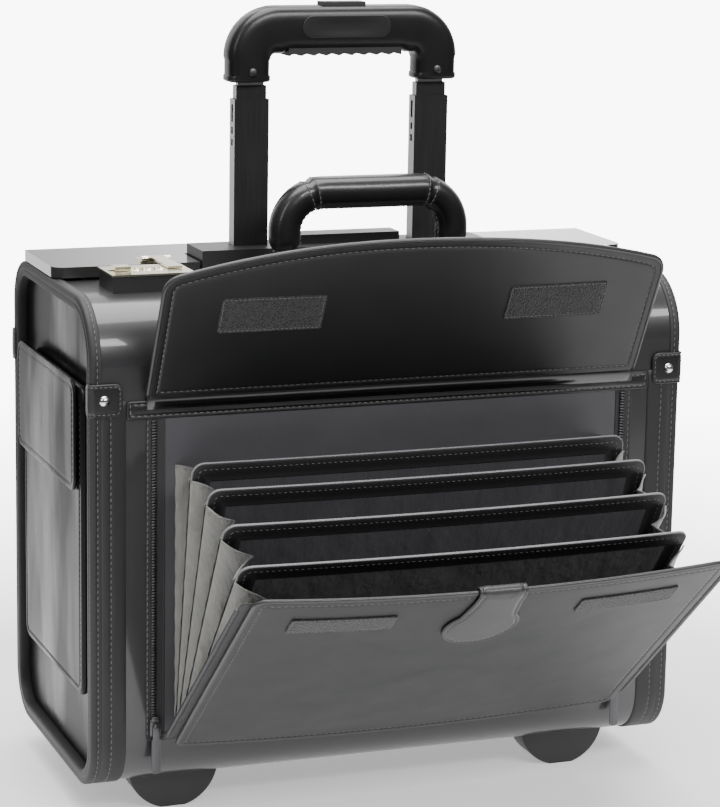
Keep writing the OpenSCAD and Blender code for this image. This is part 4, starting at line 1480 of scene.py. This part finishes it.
piece("handle_shanks", together(shanks), "handle", trim_leather)
print(f"handle filled by up to {handle_filled:.1f} mm")

# %% [markdown]
# Each post stands on a dark metal foot, capped by a stitched leather tab, with a small
# metal chape at its outer end. The lugs of the foot come up through the tab.

# %% Handle feet
dress("handle_mounts", black_enamel, 0.7)
foot_lo, foot_hi = drawn("handle_mounts")
tabs, tab_sewing, chapes = [], [], []
for end in (-1, 1):
    inner, outer = end * (foot_hi.x - 48 + 0.8), end * (foot_hi.x - 9.5)
    line = round_rect(min(inner, outer), foot_lo.y + 0.8, max(inner, outer), foot_hi.y - 0.8, 4.5, 2)

    def on_foot(u, v, w):
        return mm(u, v, HEIGHT + 3.9 + w)

    tabs.append(leaf_shape(line, on_foot, 2.0, 2.4, 0.35, 0.3, back=0.0, rows=6,
                           seam=(0, 0.2, 0.6, 1.1, 1.7, 2.1, 2.4, 2.8, 3.4)))
    spots, outs = seam_line(line, on_foot, 2.4, 0.75)
    tab_sewing.append(sew(spots, outs, 3.4, 2.5, 0.34, closed=True))
    x0, x1 = sorted((end * (foot_hi.x - 10.5), end * (foot_hi.x + 1.5)))
    chapes.append(block((x0, HANDLE_Y - 11, HEIGHT + 0.4), (x1, HANDLE_Y + 11, HEIGHT + 8.5), 2.6, 4))
    chapes.append(block((x0 + 2.5, HANDLE_Y - 8, HEIGHT + 6),
                        (x1 - 2.5, HANDLE_Y + 8, HEIGHT + 10.4), 1.6, 3))
piece("foot_tabs", together(tabs), "case", trim_leather)
piece("foot_tab_thread", together(tab_sewing), "case", thread)
piece("foot_chapes", together(chapes), "case", gun_metal)
print("handle feet at", round(foot_hi.x - 48), "to", round(foot_hi.x), "mm from the middle")

# %% [markdown]
# A combination lock's dial is a brass wheel with knurled flanges and a smooth band that
# carries the numbers nought to nine. The numbers are cut from the default font, which is
# as plain as an engraver's, and wrapped round the band.

# %% Number shapes
DIAL_R = (drawn("dial_left_1")[1].z - drawn("dial_left_1")[0].z) / 2


def number_shape(n, size):
    """Flat points and faces of a numeral, centred, in millimetres."""
    text = bpy.data.curves.new("numeral", "FONT")
    text.body = str(n)
    text.size = size
    text.align_x = "CENTER"
    text.align_y = "CENTER"
    carrier = bpy.data.objects.new("numeral", text)
    bpy.context.scene.collection.objects.link(carrier)
    solved = carrier.evaluated_get(bpy.context.evaluated_depsgraph_get())
    flat = solved.to_mesh()
    points = [v.co.copy() for v in flat.vertices]
    faces = [tuple(f.vertices) for f in flat.polygons]
    solved.to_mesh_clear()
    bpy.data.objects.remove(carrier)
    bpy.data.curves.remove(text)
    return points, faces


numerals = [number_shape(n, 4.1) for n in range(10)]
print("numeral 8 has", len(numerals[8][0]), "points")


# %% Dials
def dial_wheel(middle):
    """A wheel turned from stations of place, radius and whether the rim is knurled there."""
    stations = [(-3.0, 4.6, 0), (-3.0, 5.1, 0), (-2.8, 5.6, 1), (-2.2, 5.75, 1), (-2.0, 5.3, 0),
                (-1.8, 5.15, 0), (1.8, 5.15, 0), (2.0, 5.3, 0), (2.2, 5.75, 1), (2.8, 5.6, 1),
                (3.0, 5.1, 0), (3.0, 4.6, 0), (3.0, 1.7, 0), (-3.0, 1.7, 0)]
    rings = []
    for x, r, knurled in stations:
        rings.append([mm(middle.x + x,
                         middle.y + (r - knurled * 0.42 * (k % 2)) * math.sin(2 * math.pi * k / 60),
                         middle.z + (r - knurled * 0.42 * (k % 2)) * math.cos(2 * math.pi * k / 60))
                      for k in range(60)])
    return skin(rings, along=True)


def dial_numbers(middle):
    parts = []
    for n, (points, faces) in enumerate(numerals):
        turn = n * math.pi / 5
        wrapped = []
        for p in points:
            a = turn + p.y / 5.2
            wrapped.append(mm(middle.x + p.x, middle.y + 5.2 * math.sin(a), middle.z + 5.2 * math.cos(a)))
        parts.append((wrapped, faces))
    return together(parts)


for side, letter in (("left", "l"), ("right", "r")):
    for k in (1, 2, 3):
        node = f"dial_{side}_{k}"
        lo, hi = drawn(node)
        middle = (lo + hi) / 2
        body = f"dial_{letter}{k}"
        piece(f"wheel_of_{node}", dial_wheel(middle), body, dial_metal, [node])
        piece(f"numbers_of_{node}", dial_numbers(middle), body, ink_and_shade, closed=False)
    low, high = drawn(f"lock_button_{side}")
    dress(f"lock_button_{side}", pale_brass, 0.9)
    ridges = [block((low.x + 2.2 + 2.1 * k, low.y + 2, high.z - 0.4),
                    (low.x + 3.4 + 2.1 * k, high.y - 2, high.z + 0.35), 0.3, 2) for k in range(4)]
    piece(f"button_ridges_{side}", together(ridges), f"button_{letter}", pale_brass)
print("six dials of radius", round(DIAL_R, 1))

# %% [markdown]
# The trolley's grip is a moulding with wide soft corners. It has a shallow rest for the
# thumb, ribs for the fingers under the bar, two screws that hold it to the tubes, and the
# release button on top.

# %% Trolley grip
shell_lo, shell_hi = drawn("grip_shell")
# half widths of the grip's legs and bar, and the radius of the bend between them
LEG = 16.6
BAR = 17.8
ELBOW = 21.0
leg_x = shell_hi.x - LEG
bar_z = shell_hi.z - BAR
leg_rise = bar_z - ELBOW - shell_lo.z
grip_run = leg_x - ELBOW
grip_y = (shell_lo.y + shell_hi.y) / 2


def grip_station(s):
    """Centre, way out and half width of the grip's bow, s millimetres from its middle."""
    end, run = (1 if s >= 0 else -1), abs(s)
    if run < grip_run:
        lift = 0.9 if run < 45 else 0.9 * max(0.0, 1 - (run - 45) / 5)
        return Vector((s, grip_y, bar_z + lift)), Vector((0, 0, 1)), BAR - lift
    bend = ELBOW * math.pi / 2
    if run < grip_run + bend:
        a = (run - grip_run) / ELBOW
        out = Vector((end * math.sin(a), 0, math.cos(a)))
        heart = Vector((end * grip_run, grip_y, bar_z - ELBOW)) + out * ELBOW
        return heart, out, BAR + (LEG - BAR) * a / (math.pi / 2)
    drop = run - grip_run - bend
    collar = 0.9 if drop > leg_rise - 4.5 else 0.0
    return Vector((end * leg_x, grip_y, bar_z - ELBOW - drop)), Vector((end, 0, 0)), LEG - 0.9 + collar


def rounded_section(heart, out, half, deep, power=0.52, count=40):
    """A rounded square round a centre: half along the way out, deep along Y."""
    ring = []
    for k in range(count):
        a = 2 * math.pi * k / count
        c, d = math.cos(a), math.sin(a)
        spot = heart + Vector((0, math.copysign(abs(c) ** power, c) * deep, 0))
        ring.append(mm(*(spot + out * math.copysign(abs(d) ** power, d) * half)))
    return ring


whole = grip_run + ELBOW * math.pi / 2 + leg_rise
edges = {0.0, 42, 45, 47, 50, whole - 5, whole - 4.2, whole - 1, whole}
marks = sorted(edges | {k * whole / 40 for k in range(41)})
marks = [-m for m in reversed(marks) if m] + marks
rings = []
for s in marks:
    heart, out, half = grip_station(s)
    last = 1.4 if abs(s) == whole else 0.0
    rings.append(rounded_section(heart, out, half - last, 13.4 - last * 0.7))
piece("grip_body", skin(rings, caps=True), "stage_3", grip_plastic, ["grip_shell"])
dress("grip_pad", grip_rubber, 0.5)
dress("grip_button", grip_rubber, 1.8, 5)


def on_grip(u, v, w):
    return mm(u, shell_lo.y - w + 0.5, v)


rest_line = round_rect(-35, shell_hi.z - 24, 35, shell_hi.z - 7, 8.2, 2.5)
piece("thumb_rest", leaf_shape(rest_line, on_grip, 1.3, 1.3, 0.1, -0.75, back=0.0, rows=8,
                               seam=(0, 0.2, 0.5, 0.9, 1.3, 1.8, 2.4)), "stage_3", grip_rubber)


def screw(x, z):
    """A domed head; its cross is not cut but laid on afterwards as a dark block, painted shade."""
    rings = []
    for r, out in ((3.3, -0.3), (3.3, 0.5), (3.0, 0.95), (2.2, 1.25), (1.2, 1.4), (0.3, 1.45)):
        rings.append([mm(x + r * math.cos(a), shell_lo.y + 0.6 - out, z + r * math.sin(a))
                      for a in (2 * math.pi * k / 24 for k in range(24))])
    return skin(rings, caps=True)


screws, crosses = [], []
for end in (-1, 1):
    x, z = end * (shell_hi.x - 17.4), shell_lo.z + 7.5
    screws.append(screw(x, z))
    y = shell_lo.y + 0.6
    # painted shade: a dark block on each dome stands where the shade in the cross's slots would be
    crosses.append(block((x - 1.9, y - 1.56, z - 0.35), (x + 1.9, y - 1.0, z + 0.35), 0.12, 1))
    crosses.append(block((x - 0.35, y - 1.56, z - 1.9), (x + 0.35, y - 1.0, z + 1.9), 0.12, 1))
piece("grip_screws", together(screws), "stage_3", gun_metal)
piece("screw_crosses", together(crosses), "stage_3", ink_and_shade)
print("grip", round(shell_hi.x - shell_lo.x), "mm wide")

# %% [markdown]
# The wheels are hidden behind the case from the front, but not from the side. A tyre is
# turned: its section has round shoulders and two grooves, and is swept round the axle.

# %% Tyres
for side, body in (("left", "wheel_l"), ("right", "wheel_r")):
    lo, hi = drawn(f"wheel_tyre_{side}")
    heart, wide, r = (lo + hi) / 2, (hi.x - lo.x) / 2, (hi.z - lo.z) / 2
    bore = r - 6
    half = [(-wide + 0.6, bore), (-wide, bore + 0.8), (-wide, r - 3.6), (-wide + 0.9, r - 1.5),
            (-wide + 2.8, r - 0.4), (-4.6, r), (-4.2, r - 0.2), (-3.8, r - 1.6), (-3.0, r - 1.6),
            (-2.6, r - 0.2), (-2.2, r)]
    section = half + [(-x, q) for x, q in reversed(half)]
    rings = []
    for k in range(72):
        c, d = math.cos(2 * math.pi * k / 72), math.sin(2 * math.pi * k / 72)
        rings.append([mm(heart.x + x, heart.y + q * c, heart.z + q * d) for x, q in section])
    piece(f"tyre_{side}", skin(rings, along=True), body, tyre, [f"wheel_tyre_{side}"])
print("tyres of radius", round(r))

# %% [markdown]
# Black leather is lit by what it mirrors, not by what falls on it. So the studio is a pale
# sheet of paper on the floor, a backdrop of soft upright strips behind the case, a soft box
# overhead and a dark room in front. The paper fades out at its rim into a pale background.

# %% Floor
FLOOR_REACH = 1.5
bpy.ops.mesh.primitive_circle_add(vertices=96, radius=FLOOR_REACH + 0.1, fill_type="NGON")
floor = bpy.context.object
floor.name = "floor"
paper = Finish("floor_paper")
tone = paper.speckle(900, 2.0)
away = paper.start.node("ShaderNodeVectorMath", {"operation": "LENGTH"}, {0: paper.place}, "Value")
solid = (FLOOR_REACH - away).clamped()
white_card = paper.close(tone.blend((0.84, 0.84, 0.84), (0.88, 0.88, 0.88)), tone * 0.1 + 0.75,
                         Alpha=solid, Emission_Color=(1, 1, 1, 1), Emission_Strength=0.45)
floor.data.materials.append(white_card)

# %% Backdrop and room
# brightness of the background, of the strips behind the case, of the sky and of the room
PAPER = 9.0
BACKDROP = 3.4
OVERHEAD = 0.45
ROOM = 0.08
world = bpy.data.worlds.new("studio")
bpy.context.scene.world = world
world.use_nodes = True
world.node_tree.nodes.clear()
sky = Link(world.node_tree)
direction = sky.node("ShaderNodeTexCoord", out="Generated")
dot = {"operation": "DOT_PRODUCT"}
behind = sky.node("ShaderNodeVectorMath", dot, {0: direction, 1: (0.42, 0.90, 0.08)}, "Value")
overhead = sky.node("ShaderNodeVectorMath", dot, {0: direction, 1: (0, 0, 1)}, "Value")
sideways = sky.node("ShaderNodeSeparateXYZ", None, {"Vector": direction}, "X")
strips = (sideways * 19 + 0.6).wave()
wall = ((behind - 0.50) * 3.0).clamped() * (strips * 0.8 + 0.2)
glow = wall * (BACKDROP - ROOM) + overhead.clamped() * OVERHEAD + ROOM
seen = sky.node("ShaderNodeLightPath", out="Is Camera Ray")
level = seen * PAPER + (1 - seen) * glow
shine = sky.node("ShaderNodeBackground", None, {"Color": (1, 1, 1, 1), "Strength": level})
sky.node("ShaderNodeOutputWorld", None, {"Surface": shine})


# %% Soft boxes
def panel_light(name, spot, aim, wide, tall, power):
    lamp = bpy.data.lights.new(name, "AREA")
    lamp.shape = "RECTANGLE"
    lamp.size, lamp.size_y, lamp.energy = wide, tall, power
    holder = bpy.data.objects.new(name, lamp)
    bpy.context.scene.collection.objects.link(holder)
    holder.location = Vector(spot)
    holder.rotation_euler = (Vector(aim) - Vector(spot)).to_track_quat("-Z", "Y").to_euler()
    return holder


panel_light("top_panel", (-0.1, 0.2, 2.3), (0, 0.1, 0), 2.2, 1.8, 95)
panel_light("left_panel", (-1.9, -1.1, 1.5), (0, 0, 0.2), 0.25, 1.3, 9)
panel_light("front_panel", (0.6, -2.2, 1.9), (0, 0, 0.15), 2.0, 0.6, 60)

# %% Camera
lens = bpy.data.cameras.new("camera")
lens.lens, lens.sensor_width = 125.56, 36
camera = bpy.data.objects.new("camera", lens)
bpy.context.scene.collection.objects.link(camera)
right, up, back = (Vector((0.937104, -0.348628, 0.017151)), Vector((0.057663, 0.203083, 0.977462)),
                   Vector((-0.344254, -0.914995, 0.210412)))
turned = Matrix((right, up, back)).transposed().to_4x4()
camera.matrix_world = Matrix.Translation((-0.73096, -1.88532, 0.73618)) @ turned
bpy.context.scene.camera = camera
print("camera", round((camera.location - zero).length, 2), "m from the case's front edge")
